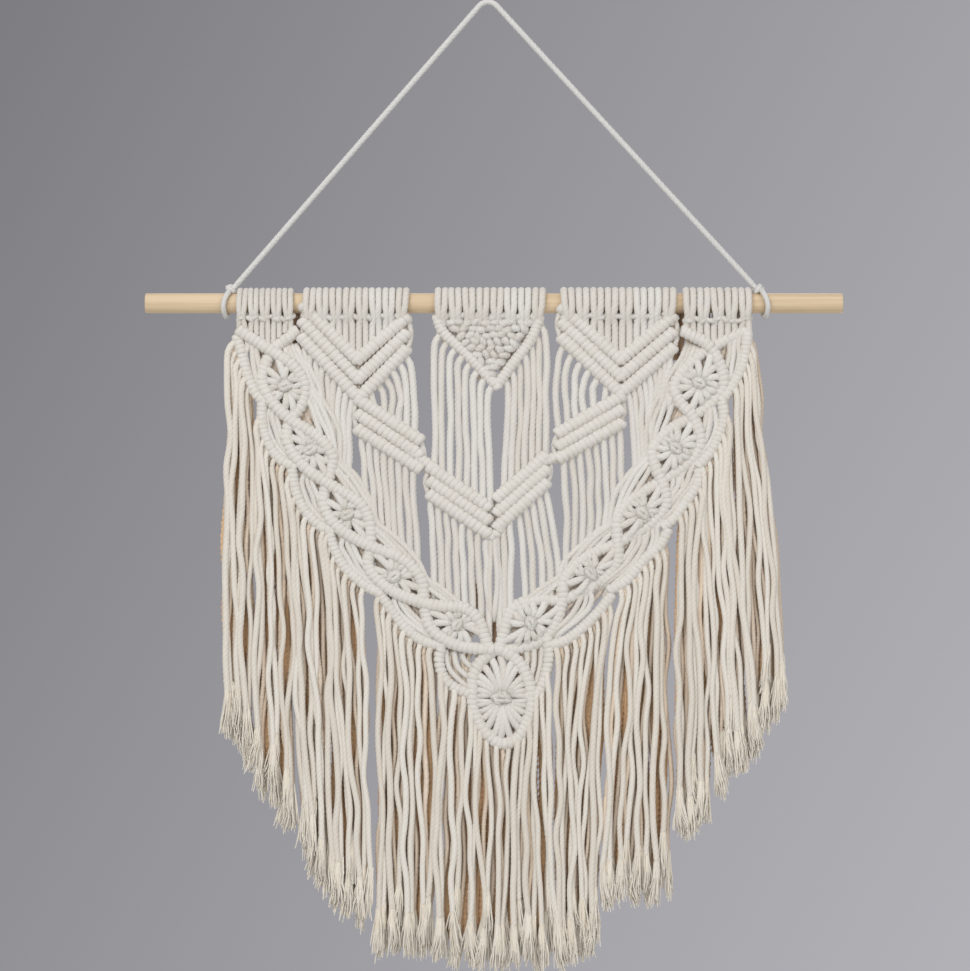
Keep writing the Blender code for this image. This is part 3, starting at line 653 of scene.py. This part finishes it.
# How much painted shade the strands behind the bars and knots get, from 0 to 1.
BEHIND_PAINTED_SHADE = 0.3
PAINTED_NET_GAP_SHADE = (0.46, 0.31, 0.21)  # painted shade, as dark a brown as the narrow gaps of the net look in their shade
# How many, the tops of the first and the last, their feet, their bow and their kick.
STRAND_GROUPS = (
    (7, (-79, -56), (-53, -32), (-75, -64), (-48, -82), 2.0, 3.0),
    (9, (-113, -25), (-84, -56), (-111, -50), (-88, -106), -0.5, -1.5),
    (7, (42, -26), (73, -54), (39, -78), (71, -62), -2.0, -3.0),
    (9, (105, -32), (80, -54), (103, -50), (85, -106), 0.5, 1.5),
    (8, (-79, -80), (-48, -100), (-75, -130), (-46, -164), 0.0, -1.0),
    (8, (41, -93), (75, -76), (43, -165), (75, -126), 1.5, 1.0),
    (8, (-33, -20), (-1, -50), (-36, -100), (-2, -122), -0.5, -3.0),
    (7, (6, -46), (28, -14), (6, -116), (31, -94), 1.0, 3.0),
    (8, (-37, -117), (-4, -141), (-36, -172), (-3.1, -196), 0.0, -1.5),
    (3, (1, -138), (9, -131), (3.5, -194), (10, -188), 0.5, 0.5),
    (5, (14, -126), (30, -112), (19, -186), (39, -170), 1.5, 1.5),
)
# Sets of strands that lie along the braid, in the windows of its outer edge and between
# its inner edge and the strands that come down into it: how many, top, foot and bow.
STRUTS = (
    (4, (-121, -29), (-107, -60), 1.0), (4, (118, -29), (104, -60), -1.0),
    (3, (121, -87), (108, -118), 3.0), (3, (-146, -21), (-139, -54), -2.0),
    (3, (-133, -58), (-120, -95), -5.0), (3, (-113, -97), (-96, -134), -5.0),
    (3, (-91, -137), (-68, -170), -5.0), (3, (-60, -171), (-36, -200), -5.0),
    (3, (145, -21), (137, -53), 2.0), (3, (130, -56), (118, -94), 5.0), (3, (111, -97), (96, -132), 5.0),
    (3, (90, -134), (66, -167), 5.0), (3, (58, -169), (37, -198), 5.0), (3, (98, -131), (72, -171), 6.0),
    (4, (-113, -48), (-96, -92), 3.0), (4, (-97, -92), (-74, -132), 3.0),
    (4, (-75, -130), (-44, -166), 3.0), (3, (-46, -163), (-14, -192), 3.0),
    (4, (108, -47), (95, -90), -3.0), (4, (95, -90), (73, -131), -3.0), (4, (74, -130), (42, -165), -3.0),
    (3, (44, -162), (12, -190), -3.0), (2, (-0.6, -141), (-0.9, -185), 0.4),
)
# The strands behind the eyes of the braid, the medallion and the panels: how many, how
# wide to each side, and a centre line.
BUNDLES = (
    (9, 11.5, ((-136, -14), (-133, -29), (-125, -49), (-121, -69), (-110, -88), (-100, -107), (-88, -127),
        (-74, -146), (-60, -164), (-42, -180), (-22, -193), (-12, -199))),
    (9, 11.5, ((133, -14), (130, -27), (123, -48), (119, -68), (109, -88), (100, -107), (89, -126),
        (74, -144), (58, -162), (41, -179), (22, -192), (11, -198))),
    (10, 14.0, ((4, -206), (4, -222), (4, -240), (5, -262))),
    (5, 7.0, ((-20, -203), (-23, -216), (-20, -232))), (6, 7.0, ((22, -201), (24, -216), (23, -234))),
    (16, 30.0, ((-83, -6), (-82, -18))), (9, 15.0, ((-82, -16), (-82, -30))),
    (16, 30.0, ((75, -6), (76, -18))), (9, 15.0, ((76, -16), (76, -30))),
    (9, 14.0, ((-137, -6), (-135, -24))), (9, 16.0, ((132, -6), (132, -24))),
    (14, 28.0, ((-3, -6), (-2, -22))), (10, 19.0, ((-2, -20), (-1, -32))), (5, 9.0, ((0, -30), (0, -46))),
)
# Loose cords deep in the net, coloured a dark brown on their front as painted shade, that shows between
# its parts.
SHADED = (
    (2, 1.9, ((-118.5, -4), (-118, -34))), (2, 1.9, ((111, -4), (112, -34))),
    (2, 1.5, ((-12, -168), (-9, -184), (-4, -198))), (2, 1.2, ((-0.9, -190), (-0.9, -197), (-1, -206))),
    (3, 3.0, ((-114, -40), (-106, -64), (-100, -90))), (3, 3.0, ((110, -40), (103, -62), (98, -88))),
)
# Where the ends of the rows of a band turn down into the next row.
EDGES = (
    ((-113, -1), (-115, -12), (-114, -24)), ((-52, -8), (-50, -19), (-53, -31)),
    ((41, -2), (38, -12), (41, -24)), ((108, -7), (110, -18), (107, -30)),
    ((-82, -57), (-84, -67), (-81, -79)), ((-45, -81), (-42, -91), (-46, -101)),
    ((39, -77), (36, -86), (39, -96)), ((76, -55), (78, -64), (75, -75)),
    ((-38, -98), (-41, -107), (-38, -118)), ((31, -91), (34, -100), (31, -111)),
)
EAR_STRANDS = (
    ((-29, -208), (-27, -219), (-20, -227), (-14, -231)),
    ((-24, -209), (-22, -218), (-16, -224), (-13, -226)),
    ((-19, -210), (-18, -214), (-14, -218), (-11, -220)),
    ((29, -206), (28, -217), (25, -228), (21, -232)), ((24, -207), (24, -216), (22, -224), (20, -228)),
    ((19, -208), (20, -213), (19, -219), (17, -222)),
)


def hung(top, foot, bow, kick, depth, chance):
    """A strand that comes out sideways from behind a bar, bows between its two ends, as
    unevenly as a hand leaves it, and goes in behind the next bar."""
    top, foot = flat(*top), flat(*foot)
    length = (foot - top).length
    down = (foot - top).normalized()
    points = [top - down * UNDER_BAR * 0.6 - flat(kick * 0.5, 0), top]
    if length > LONG_STRAND:
        points.append(top + down * 5.0 + flat(kick * 0.8, 0))
        for share, turn_in, bend in ((0.28, 0.6, 0.7), (0.5, 0.3, 1.0), (0.72, 0.0, 0.9)):
            sway = kick * turn_in + bow * bend + chance(-0.8, 0.8)
            points.append(top.lerp(foot, share) + flat(sway, 0))
    points += [foot, foot + down * UNDER_BAR * 0.8]
    depth += chance(-0.6, 0.5)
    for i, point in enumerate(points):
        point.y = depth if 0 < i < len(points) - 1 else BEHIND_DEPTH
    return smooth_route(points, 2.0)


chance = random.Random(31).uniform
routes = []
for count, top_first, top_last, foot_first, foot_last, bow, kick in STRAND_GROUPS:
    for share in shares(count):
        route = hung(between(top_first, top_last, share), between(foot_first, foot_last, share),
                     bow, kick, NET_DEPTH, chance)
        routes.append((route, NET_STRAND * chance(0.92, 1.0)))
for count, top, foot, bow in STRUTS:
    for i in range(count):
        offset = (i - (count - 1) / 2) * STRUT_PITCH
        route = hung((top[0] + offset * 0.7, top[1]), (foot[0] + offset * 0.7, foot[1]),
                     bow + offset * 0.3, 0.0, STRUT_DEPTH, chance)
        routes.append((route, STRAND * chance(0.85, 0.98)))
for curve in EAR_STRANDS + EDGES:
    routes.append((smooth_route(at_depth(curve, BAR_DEPTH + 1.0), 1.5), STRAND * 0.9))
net_pieces.append(cords("net_strands", routes, cotton_cord, 1.4, LAY, 6, 0.12, seed=32))

across_bands = []
for top_row, bottom_row in BANDS:
    count = round((Vector(top_row[1]) - Vector(top_row[0])).length / BAND_PITCH)
    for share in shares(count + 1):
        top, foot = between(*top_row, share), between(*bottom_row, share)
        route = at_depth(((top[0], top[1] + 2), (foot[0], foot[1] - 2)), BEHIND_DEPTH - 0.6)
        across_bands.append((route, STRAND))
# A cotton whose painted shade is the dark brown of the net's narrow gaps.
shaded_cotton = cotton("shaded_cotton", COTTON_CREAM, COTTON_SHADE, 0.1, deep=PAINTED_NET_GAP_SHADE)
for name, routes, bundles, depth, warm, material in (
        ("net_strands_behind", across_bands, BUNDLES, -1.2, BEHIND_PAINTED_SHADE, cotton_cord),
        ("net_strands_shaded", [], SHADED, 2.4, 1.0, shaded_cotton)):
    for count, half_width, centre_line in bundles:
        line = smooth_route(at_depth(centre_line, 0.0), 4.0)
        for i, share in enumerate(shares(count)):
            out = half_width * (2 * share - 1)
            route = []
            for k, point in enumerate(line):
                run = line[min(k + 1, len(line) - 1)] - line[max(k - 1, 0)]
                side = run.cross(WALLWARD).normalized()
                weave = sin(k * 0.5 + i * 2.1)
                route.append(point + side * (out + weave * 0.8) + WALLWARD * (depth + weave * 0.6))
            routes.append((route, STRAND))
    net_pieces.append(cords(name, routes, material, 2.8, 3 * LAY, 6, 0.12, 33, warm))


# -------- square knots
# In each eye of the braid and in the medallion the cords are gathered in one square knot:
# they fan in from the bars above, pass under two crossing turns, and fan out below.
EYE_KNOT, MEDALLION_KNOT = (3.6, 7), (6.2, 13)  # width, and petals of each half
# The middle of each eye of the braid, and how far it leans, in degrees.
EYES = (
    (-125, -50, 20), (-110, -88, 32), (-88, -127, 32), (-60, -164, 40), (-22, -193, 62), (123, -48, -20),
    (109, -87, -32), (89, -126, -32), (58, -162, -40), (22, -192, -62),
)
PETAL_LIMIT = 26.0
PETAL_SPREAD = 176.0  # degrees that the petals of one half of a knot fan over
# The crossing turns: where, as shares across and down, and how much askew.
TURNS = ((-0.5, -0.6, 0.5), (0.5, 0.6, 0.5), (0.45, -0.55, -0.6), (-0.45, 0.55, -0.6))
# Lumps of small knots: a row of them under each heading, and the middle panel full.
HEADING_LUMPS = ((-150.5, -123, 8, -9), (-112, -54, 15, -8), (43, 107, 16, -8),
                 (117, 151.5, 9, -10))
LUMP_ROWS, LUMP_PITCH = 10, 5.0
LUMP_TOP, LUMP_STEP = -8.0, 3.9
LUMP_MIDDLE, LUMP_HALF_WIDTH, LUMP_SHRINK = -2.5, 29.0, 3.1


def reach_to_bar(centre, direction, bar_routes):
    """How far from the centre the nearest bar is in a direction, in the flat x, z plane."""
    nearest = PETAL_LIMIT
    for route in bar_routes:
        for a, b in zip(route, route[1:]):
            run, gap = b - a, a - centre
            cross = direction.x * run.z - direction.z * run.x
            if abs(cross) < 1e-9:
                continue
            reach = (gap.x * run.z - gap.z * run.x) / cross
            share = (gap.x * direction.z - gap.z * direction.x) / cross
            if 0 <= share <= 1 and 0 < reach < nearest:
                nearest = reach
    return nearest


def lump(middle, lean, thick):
    """The front of one tight hitch: a short thick bit of cord that goes in at both ends."""
    across = flat(cos(lean), sin(lean))
    route = [middle + across * u - WALLWARD * w
             for u, w in ((-2.5, -1.6), (-1.7, 0.4), (0.0, 1.3), (1.7, 0.4), (2.5, -1.6))]
    return smooth_route(route, 1.2), thick


bar_routes = [smooth_route(at_depth(route, BAR_DEPTH), 3.0) for route in BRAID + MEDALLION]
chance = random.Random(40).uniform
routes = []
knots = [(*eye, EYE_KNOT) for eye in EYES] + [(4.5, -237, 0, MEDALLION_KNOT)]
for x, z, degrees, (width, petals) in knots:
    middle = flat(x, z) + WALLWARD * BAR_DEPTH
    lean = radians(degrees)
    down, across = flat(sin(lean), -cos(lean)), flat(cos(lean), sin(lean))
    for sign in (1, -1):
        for share in [share - 0.5 for share in shares(petals)]:
            bearing = radians(PETAL_SPREAD * share + chance(-4, 4))
            way = down * (cos(bearing) * sign) + across * sin(bearing)
            reach = reach_to_bar(middle, way, bar_routes) - 1.2
            root = middle + across * (share * width * 1.3) + down * (sign * 1.2)
            end = middle + way * reach
            curl = flat(way.z, -way.x) * (chance(0.5, 1.6) * (1 if share > 0 else -1) * sign)
            points = [root, root.lerp(end, 0.3) + curl, root.lerp(end, 0.75) + curl, end]
            for point, lift in zip(points, (0.4, -2.0, -1.8, 0.6)):
                point.y += lift
            route = smooth_route(points, 1.2)
            fat = min(2.3, reach * radians(PETAL_SPREAD) / petals * 0.48)
            radii = [1.3 + (fat - 1.3) * sin(min(1.0, 1.6 * k / (len(route) - 1)) * pi / 2)
                     for k in range(len(route))]
            routes.append((route, radii))
    for u, v, turn in TURNS:
        spot = middle + across * (u * width) + down * (v * 2.2) - WALLWARD * 2.2
        routes.append(lump(spot, lean + turn + chance(-0.4, 0.4), chance(1.6, 2.0)))
    for v in (-1.3, 1.3):
        routes.append(lump(middle + down * v - WALLWARD * 2.9, lean + chance(-0.35, 0.35),
                           1.5))
for row in range(LUMP_ROWS):
    width = LUMP_HALF_WIDTH - LUMP_SHRINK * row
    count = max(1, round(2 * width / LUMP_PITCH))
    for i in range(count):
        x = LUMP_MIDDLE + width * ((2 * i + 1) / count - 1) + chance(-0.8, 0.8)
        z = LUMP_TOP - LUMP_STEP * row + chance(-0.8, 0.8)
        routes.append(lump(Vector((x, BAR_DEPTH - 0.4, z)), chance(-1.1, 1.1),
                           chance(2.2, 2.6)))
for first, last, count, height in HEADING_LUMPS:
    for i in range(count):
        x = first + (last - first) * i / (count - 1) + chance(-0.7, 0.7)
        z = height + chance(-0.9, 0.9)
        routes.append(lump(Vector((x, BAR_DEPTH - 1.2, z)), chance(-0.7, 0.7),
                           chance(1.5, 1.9)))
net_pieces.append(cords("square_knots", routes, cotton_cord, 1.3, LAY, 9, 0.06, seed=41))
for piece in net_pieces:
    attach(piece, "root")
    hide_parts("macrame_net")


# -------- fringe
# Each outer arc of the braid is a hitched bar.  The cords that are hitched on it hang down
# in a front and a back layer, and their cut ends are combed out into soft brushes.
FRINGE_CREAM, FRINGE_SHADE = (0.81, 0.775, 0.715), (0.60, 0.50, 0.385)
COMBED_CREAM, COMBED_SHADE = (0.91, 0.865, 0.785), (0.75, 0.655, 0.52)
FRAY_LENGTH, FRAY_LOCKS = 22.0, 38
LAYERS, DEEP_LAYER = (-2.4, 0.7, -0.9, 2.4), 5.4
# How much painted shade, from 0 to 1, the back and the deep layer of cords get.
BACK_PAINTED_SHADE, DEEP_PAINTED_SHADE = 0.35, 1.0
DEEP_PITCH, DEEP_RADIUS = 4.8, 2.4
DEEP_TAPER = (0.9, 0.75, 0.5, 0.2)
BUNCH, GATHER = 4, 1.3  # strands to a bunch, and how far each moves in at its tip
SHORTER = 6  # which of every eight strands is cut shorter
BEND_PITCH, WANDER = 20.0, 2.3  # how often and how far a strand bends sideways
TIERS = 3  # heights to which the strands of one fringe are cut
# Name, bar, from and to which share of it strands hang, how many, their first and last
# tips, and how far they bow out.
FRINGES = (
    ("fringe_left_1", ((-154, -21), (-151, -31), (-148, -43), (-143, -54), (-138, -59)), (0.02, 0.74), 12,
        (-161, -252), (-146, -272), -5.0),
    ("fringe_left_2", ((-139, -61), (-139, -72), (-135, -85), (-128, -94), (-120, -98)), (0.14, 0.94), 12,
        (-143, -280), (-120, -316), -1.5),
    ("fringe_left_3", ((-121, -101), (-119, -113), (-114, -124), (-104, -134), (-97, -136)), (0.02, 0.98),
        14, (-115, -322), (-98, -352), -1.5),
    ("fringe_left_4", ((-99, -137), (-96, -147), (-90, -158), (-83, -165), (-75, -171), (-70, -173)),
        (0.02, 0.82), 13, (-95, -358), (-75, -367), -1.0),
    ("fringe_left_5", ((-70, -172), (-61, -185), (-52, -196), (-42, -203), (-33, -205)), (0.06, 0.98), 16,
        (-71, -383), (-37, -390), 0.0),
    ("fringe_middle", ((-33, -215), (-27, -226), (-16, -236), (-10, -250), (-3, -260), (5, -263),
        (13, -259), (20, -247), (24, -234), (33, -216)), (0.02, 0.98), 33, (-35, -391), (37, -393), 0.0),
    ("fringe_right_5", ((35, -205), (44, -202), (54, -194), (63, -185), (70, -176)), (0.02, 0.93), 15,
        (38, -392), (61, -384), 0.0),
    ("fringe_right_4", ((70, -172), (80, -166), (90, -154), (99, -146), (104, -137)), (0.10, 0.86), 16,
        (64, -361), (105, -350), 1.0),
    ("fringe_right_3", ((102, -134), (108, -129), (116, -118), (122, -109), (123, -101)), (0.28, 0.98),
        12, (109, -320), (129, -306), 1.5),
    ("fringe_right_2", ((123, -97), (130, -89), (136, -76), (138, -68), (137, -60)), (0.02, 0.86), 13,
        (132, -290), (152, -266), 1.5),
    ("fringe_right_1", ((137, -58), (144, -48), (149, -37), (151, -27), (152, -19)), (0.26, 0.98), 12,
        (154, -268), (174, -233), 3.0),
)


def frayed_end_tree():
    """Grows a brush of fine locks of fibre down from each cut end.  A lock leaves the cord
    sideways, turns down and thins out."""
    tree, given = shape_tree("frayed_end", Ends="Geometry", Locks="Int", Length="Float",
                             Spread="Float", Root="Float", Thick="Float")
    ends = add("MeshToPoints", given["Ends"])
    many = add("DuplicateElements", ends, Amount=given["Locks"], domain="POINT")

    def chance(low, high, seed):
        return chance_node(low, high, maths("ADD", given["Seed"], seed))

    inside = vector_maths("SCALE", chance((-1, -1, -4), (1, 1, 1), 1), Scale=given["Root"])
    rooted = add("SetPosition", many, Offset=inside)
    lock = add("CurveQuadraticBezier", 4, (0, 0, 0), (0.62, 0, -0.45), (1, 0, -1), tree=tree)
    out = maths("MULTIPLY", chance(0.0, 1.0, 2), given["Spread"])
    down = maths("MULTIPLY", chance(0.82, 1.02, 3), given["Length"])
    size = add("ShaderNodeCombineXYZ", out, out, down)
    turn = add("ShaderNodeCombineXYZ", Z=chance(0.0, 2 * pi, 4))
    grown = add("InstanceOnPoints", rooted, Instance=lock, Rotation=turn, Scale=size)
    real = add("RealizeInstances", grown)
    share = add("SplineParameter", tree=tree).outputs["Factor"]
    late = maths("POWER", share, 1.4)
    leaning = add("ShaderNodeCombineXYZ", maths("MULTIPLY", late, marked(tree, "lean")))
    at = add("InputPosition", tree=tree)
    noise = add("ShaderNodeTexNoise", at, Scale=190.0, Detail=1.0)
    curl = vector_maths("SUBTRACT", noise.outputs["Color"], (0.5, 0.5, 0.5))
    curl = vector_maths("SCALE", curl, Scale=maths("MULTIPLY", share, 0.005))
    wavy = add("SetPosition", real, Offset=vector_maths("ADD", leaning, curl))
    thinning = maths("SUBTRACT", 1.0, maths("POWER", share, 3.0))
    thick = maths("MULTIPLY", maths("MULTIPLY_ADD", thinning, 0.5, 0.5), given["Thick"])
    section = add("CurvePrimitiveCircle", 3, Radius=1.0, tree=tree)
    return finish_tree(tree, sweep(wavy, section, thick), given["Material"])


def dangle(root, tip, y, sway, chance):
    """A cord that comes out from behind its bar, turns down and hangs to its cut end.  Sway
    is its kick at the bar, its bow, its way to its bunch, and how far it wanders."""
    kick, bow, bunch, wanders = sway
    drop = root.z - tip[1]
    points = [(root.x - kick * 0.3, BAR_DEPTH + 1.0, root.z + 0.5),
              (root.x + kick * 0.6, (y + BAR_DEPTH) / 2, root.z - 3.0),
              (root.x + kick, y, root.z - 8.0)]
    bends = round(drop / BEND_PITCH)
    wander = 0.0
    for k in range(1, bends):
        part = k / bends
        wander = 0.55 * wander + chance(-wanders, wanders)
        x = (root.x + (tip[0] - bunch - root.x) * part + bunch * part ** 3
             + kick * max(0.0, 1 - 4 * part)
             + bow * sin(pi * part) + wander * min(1.0, 4 * part, 5 - 5 * part))
        if drop * part > 16.0:
            points.append((x, y, root.z - drop * part))
    return smooth_route(points + [(tip[0], y, tip[1])], 4.0)


def root_at(roots, reach, share):
    """Where the cord at that share of the hung part of a bar leaves the bar."""
    return roots[round((reach[0] + (reach[1] - reach[0]) * share) * (len(roots) - 1))]


fringe_cotton = cotton("fringe_cotton", FRINGE_CREAM, FRINGE_SHADE, 0.1)
combed_cotton = cotton("combed_cotton", COMBED_CREAM, COMBED_SHADE, 0.3, streak=0.9, stretch=0.06)
FRAY_TREE = frayed_end_tree()
for order, (name, bar, reach, count, tip_first, tip_last, bulge) in enumerate(FRINGES):
    chance = random.Random(51 + order).uniform
    roots = smooth_route(at_depth(bar, BAR_DEPTH), 0.5)
    outward = -1.0 if "left" in name else 1.0 if "right" in name else 0.0
    layers, tufts, ends, leans, deep = ([], []), [], [], [], []
    for i, share in enumerate(shares(count)):
        tip_x, tip_z = between(tip_first, tip_last, share)
        stepped = between(tip_first, tip_last, round(share * TIERS) / TIERS)
        tip_z = 0.25 * tip_z + 0.75 * stepped[1]
        if i % BUNCH == 0:
            gathered = chance(0.5, 1.1)
        bunch = GATHER * gathered * ((BUNCH - 1) / 2 - i % BUNCH)
        tip_x += chance(-0.9, 0.9) + bunch
        tip_z += chance(-5.0, 7.0) + (16.0 if i % 8 == SHORTER else 0.0)
        outer = 1.0 - share if outward < 0 else share
        y = BAR_DEPTH + LAYERS[i % 4] + chance(-0.5, 0.5)
        kick = outward * 2.4 + bulge * 0.7 * outer
        route = dangle(root_at(roots, reach, share), (tip_x, tip_z + FRAY_LENGTH), y,
                       (kick, bulge * outer, bunch, WANDER), chance)
        layers[i % 2].append((route, STRAND * chance(0.76, 0.98)))
        lean = 1.2 * outward + chance(-3.5, 3.5)
        tuft = [(tip_x + lean * k * k / 30, y, tip_z + FRAY_LENGTH * (1.04 - 0.2 * k))
                for k in range(5)]
        wide = chance(0.85, 1.15)
        tufts.append((tuft, [wide * r for r in (1.7, 2.1, 2.4, 2.2, 0.9)]))
        ends.append(tuft[0])
        leans.append(lean * MM)
    for part in shares(round(length_of(roots) / DEEP_PITCH) + 1):
        share = 0.08 + 0.84 * part
        tip_x, tip_z = between(tip_first, tip_last, share)
        outer = 1.0 - share if outward < 0 else share
        route = dangle(root_at(roots, reach, share), (tip_x, tip_z + FRAY_LENGTH * 0.4),
                       BAR_DEPTH + DEEP_LAYER, (outward, bulge * outer, 0.0, WANDER * 0.5), chance)
        deep.append((route, [DEEP_RADIUS] * (len(route) - 4) + [DEEP_RADIUS * t for t in DEEP_TAPER]))
    parts = [cords(f"{name}_{part}", routes, fringe_cotton, step, lay, sides, 0.08, 61 + order,
                   warm)
             for part, routes, step, sides, lay, warm in (
                 ("front", layers[0], 1.5, 9, LAY, 0.0),
                 ("back", layers[1], 1.9, 6, LAY * 1.4, BACK_PAINTED_SHADE),
                 ("deep", deep, 3.6, 6, LAY * 2.4, DEEP_PAINTED_SHADE))]
    parts.append(cords(name + "_tufts", tufts, combed_cotton, 3.5, 60.0, 9, 0.2, 65 + order))
    parts.append(grow(as_points(name + "_fibres", ends, lean=leans), FRAY_TREE,
                      Locks=FRAY_LOCKS, Length=FRAY_LENGTH * 1.08 * MM, Spread=3.5 * MM,
                      Root=1.5 * MM, Thick=0.60 * MM, Seed=71 + order, Material=combed_cotton))
    if name != "fringe_middle":
        parts.append(hitched(name + "_bar", [bar], [BACKING_BAR], 81 + order, lean=0.12))
    piece = join(name + "_combed", parts)
    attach(piece, "root")
    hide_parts(name)
bpy.data.objects.remove(HITCH_LOOP)


# -------- studio
# A plain pale floor well below the hanging, plain soft light from the front left and
# above, and an even glow all round it.  Behind it the camera sees a grey that is painted
# lighter one way, as painted light across a backdrop.
FLOOR_DROP, FLOOR_HALF = 1.40, 5.0
FLOOR_PAINT = (0.7, 0.7, 0.69, 1)
GREY_DARK, GREY_LIGHT = (0.203, 0.200, 0.217, 1), (0.450, 0.443, 0.475, 1)
GREY_SLOPE = (1.84, 0.0, -1.0)  # the way in which the grey behind is painted lighter, as painted light
GLOW = (1.0, 0.99, 0.98, 1.0)
LAMPS = (("key_light", (-1.0, -1.7, 0.9), 1.2, 22.0), ("fill_light", (1.4, -1.8, 0.0), 1.5, 11.0),
         ("back_light", (0.2, 1.8, 0.8), 1.4, 12.0))

floor_mesh = bpy.data.meshes.new("floor")
corners = [(x * FLOOR_HALF, y * FLOOR_HALF, -FLOOR_DROP)
           for x, y in ((-1, -1), (1, -1), (1, 1), (-1, 1))]
floor_mesh.from_pydata(corners, [], [(0, 1, 2, 3)])
floor_paint, tree, shader = new_material("pale_floor")
give(shader, {"Base Color": FLOOR_PAINT, "Roughness": 0.8})
floor_mesh.materials.append(floor_paint)
floor = add_object("floor", floor_mesh)

for name, spot, width, watts in LAMPS:
    lamp = bpy.data.lights.new(name, "AREA")
    lamp.shape = "SQUARE"
    lamp.size = width
    lamp.energy = watts
    light = add_object(name, lamp)
    light.location = spot
    aim = place(0, 0, -150) - light.location
    light.rotation_euler = aim.to_track_quat("-Z", "Y").to_euler()

world = bpy.data.worlds.new("studio")
bpy.context.scene.world = world
world.use_nodes = True
sky = world.node_tree
sky.nodes.clear()
seen = add("LightPath", tree=sky).outputs["Is Camera Ray"]
way = add("TexCoord", tree=sky).outputs["Generated"]
slope = vector_maths("DOT_PRODUCT", way, GREY_SLOPE).outputs["Value"]
share = add("MapRange", slope, -0.38, 0.38)
backdrop = add("Background", mixed(share, GREY_DARK, GREY_LIGHT))
glow = add("Background", GLOW, 0.55, tree=sky)
add("OutputWorld", add("MixShader", seen, glow, backdrop))
bpy.context.scene.view_settings.view_transform = "Standard"
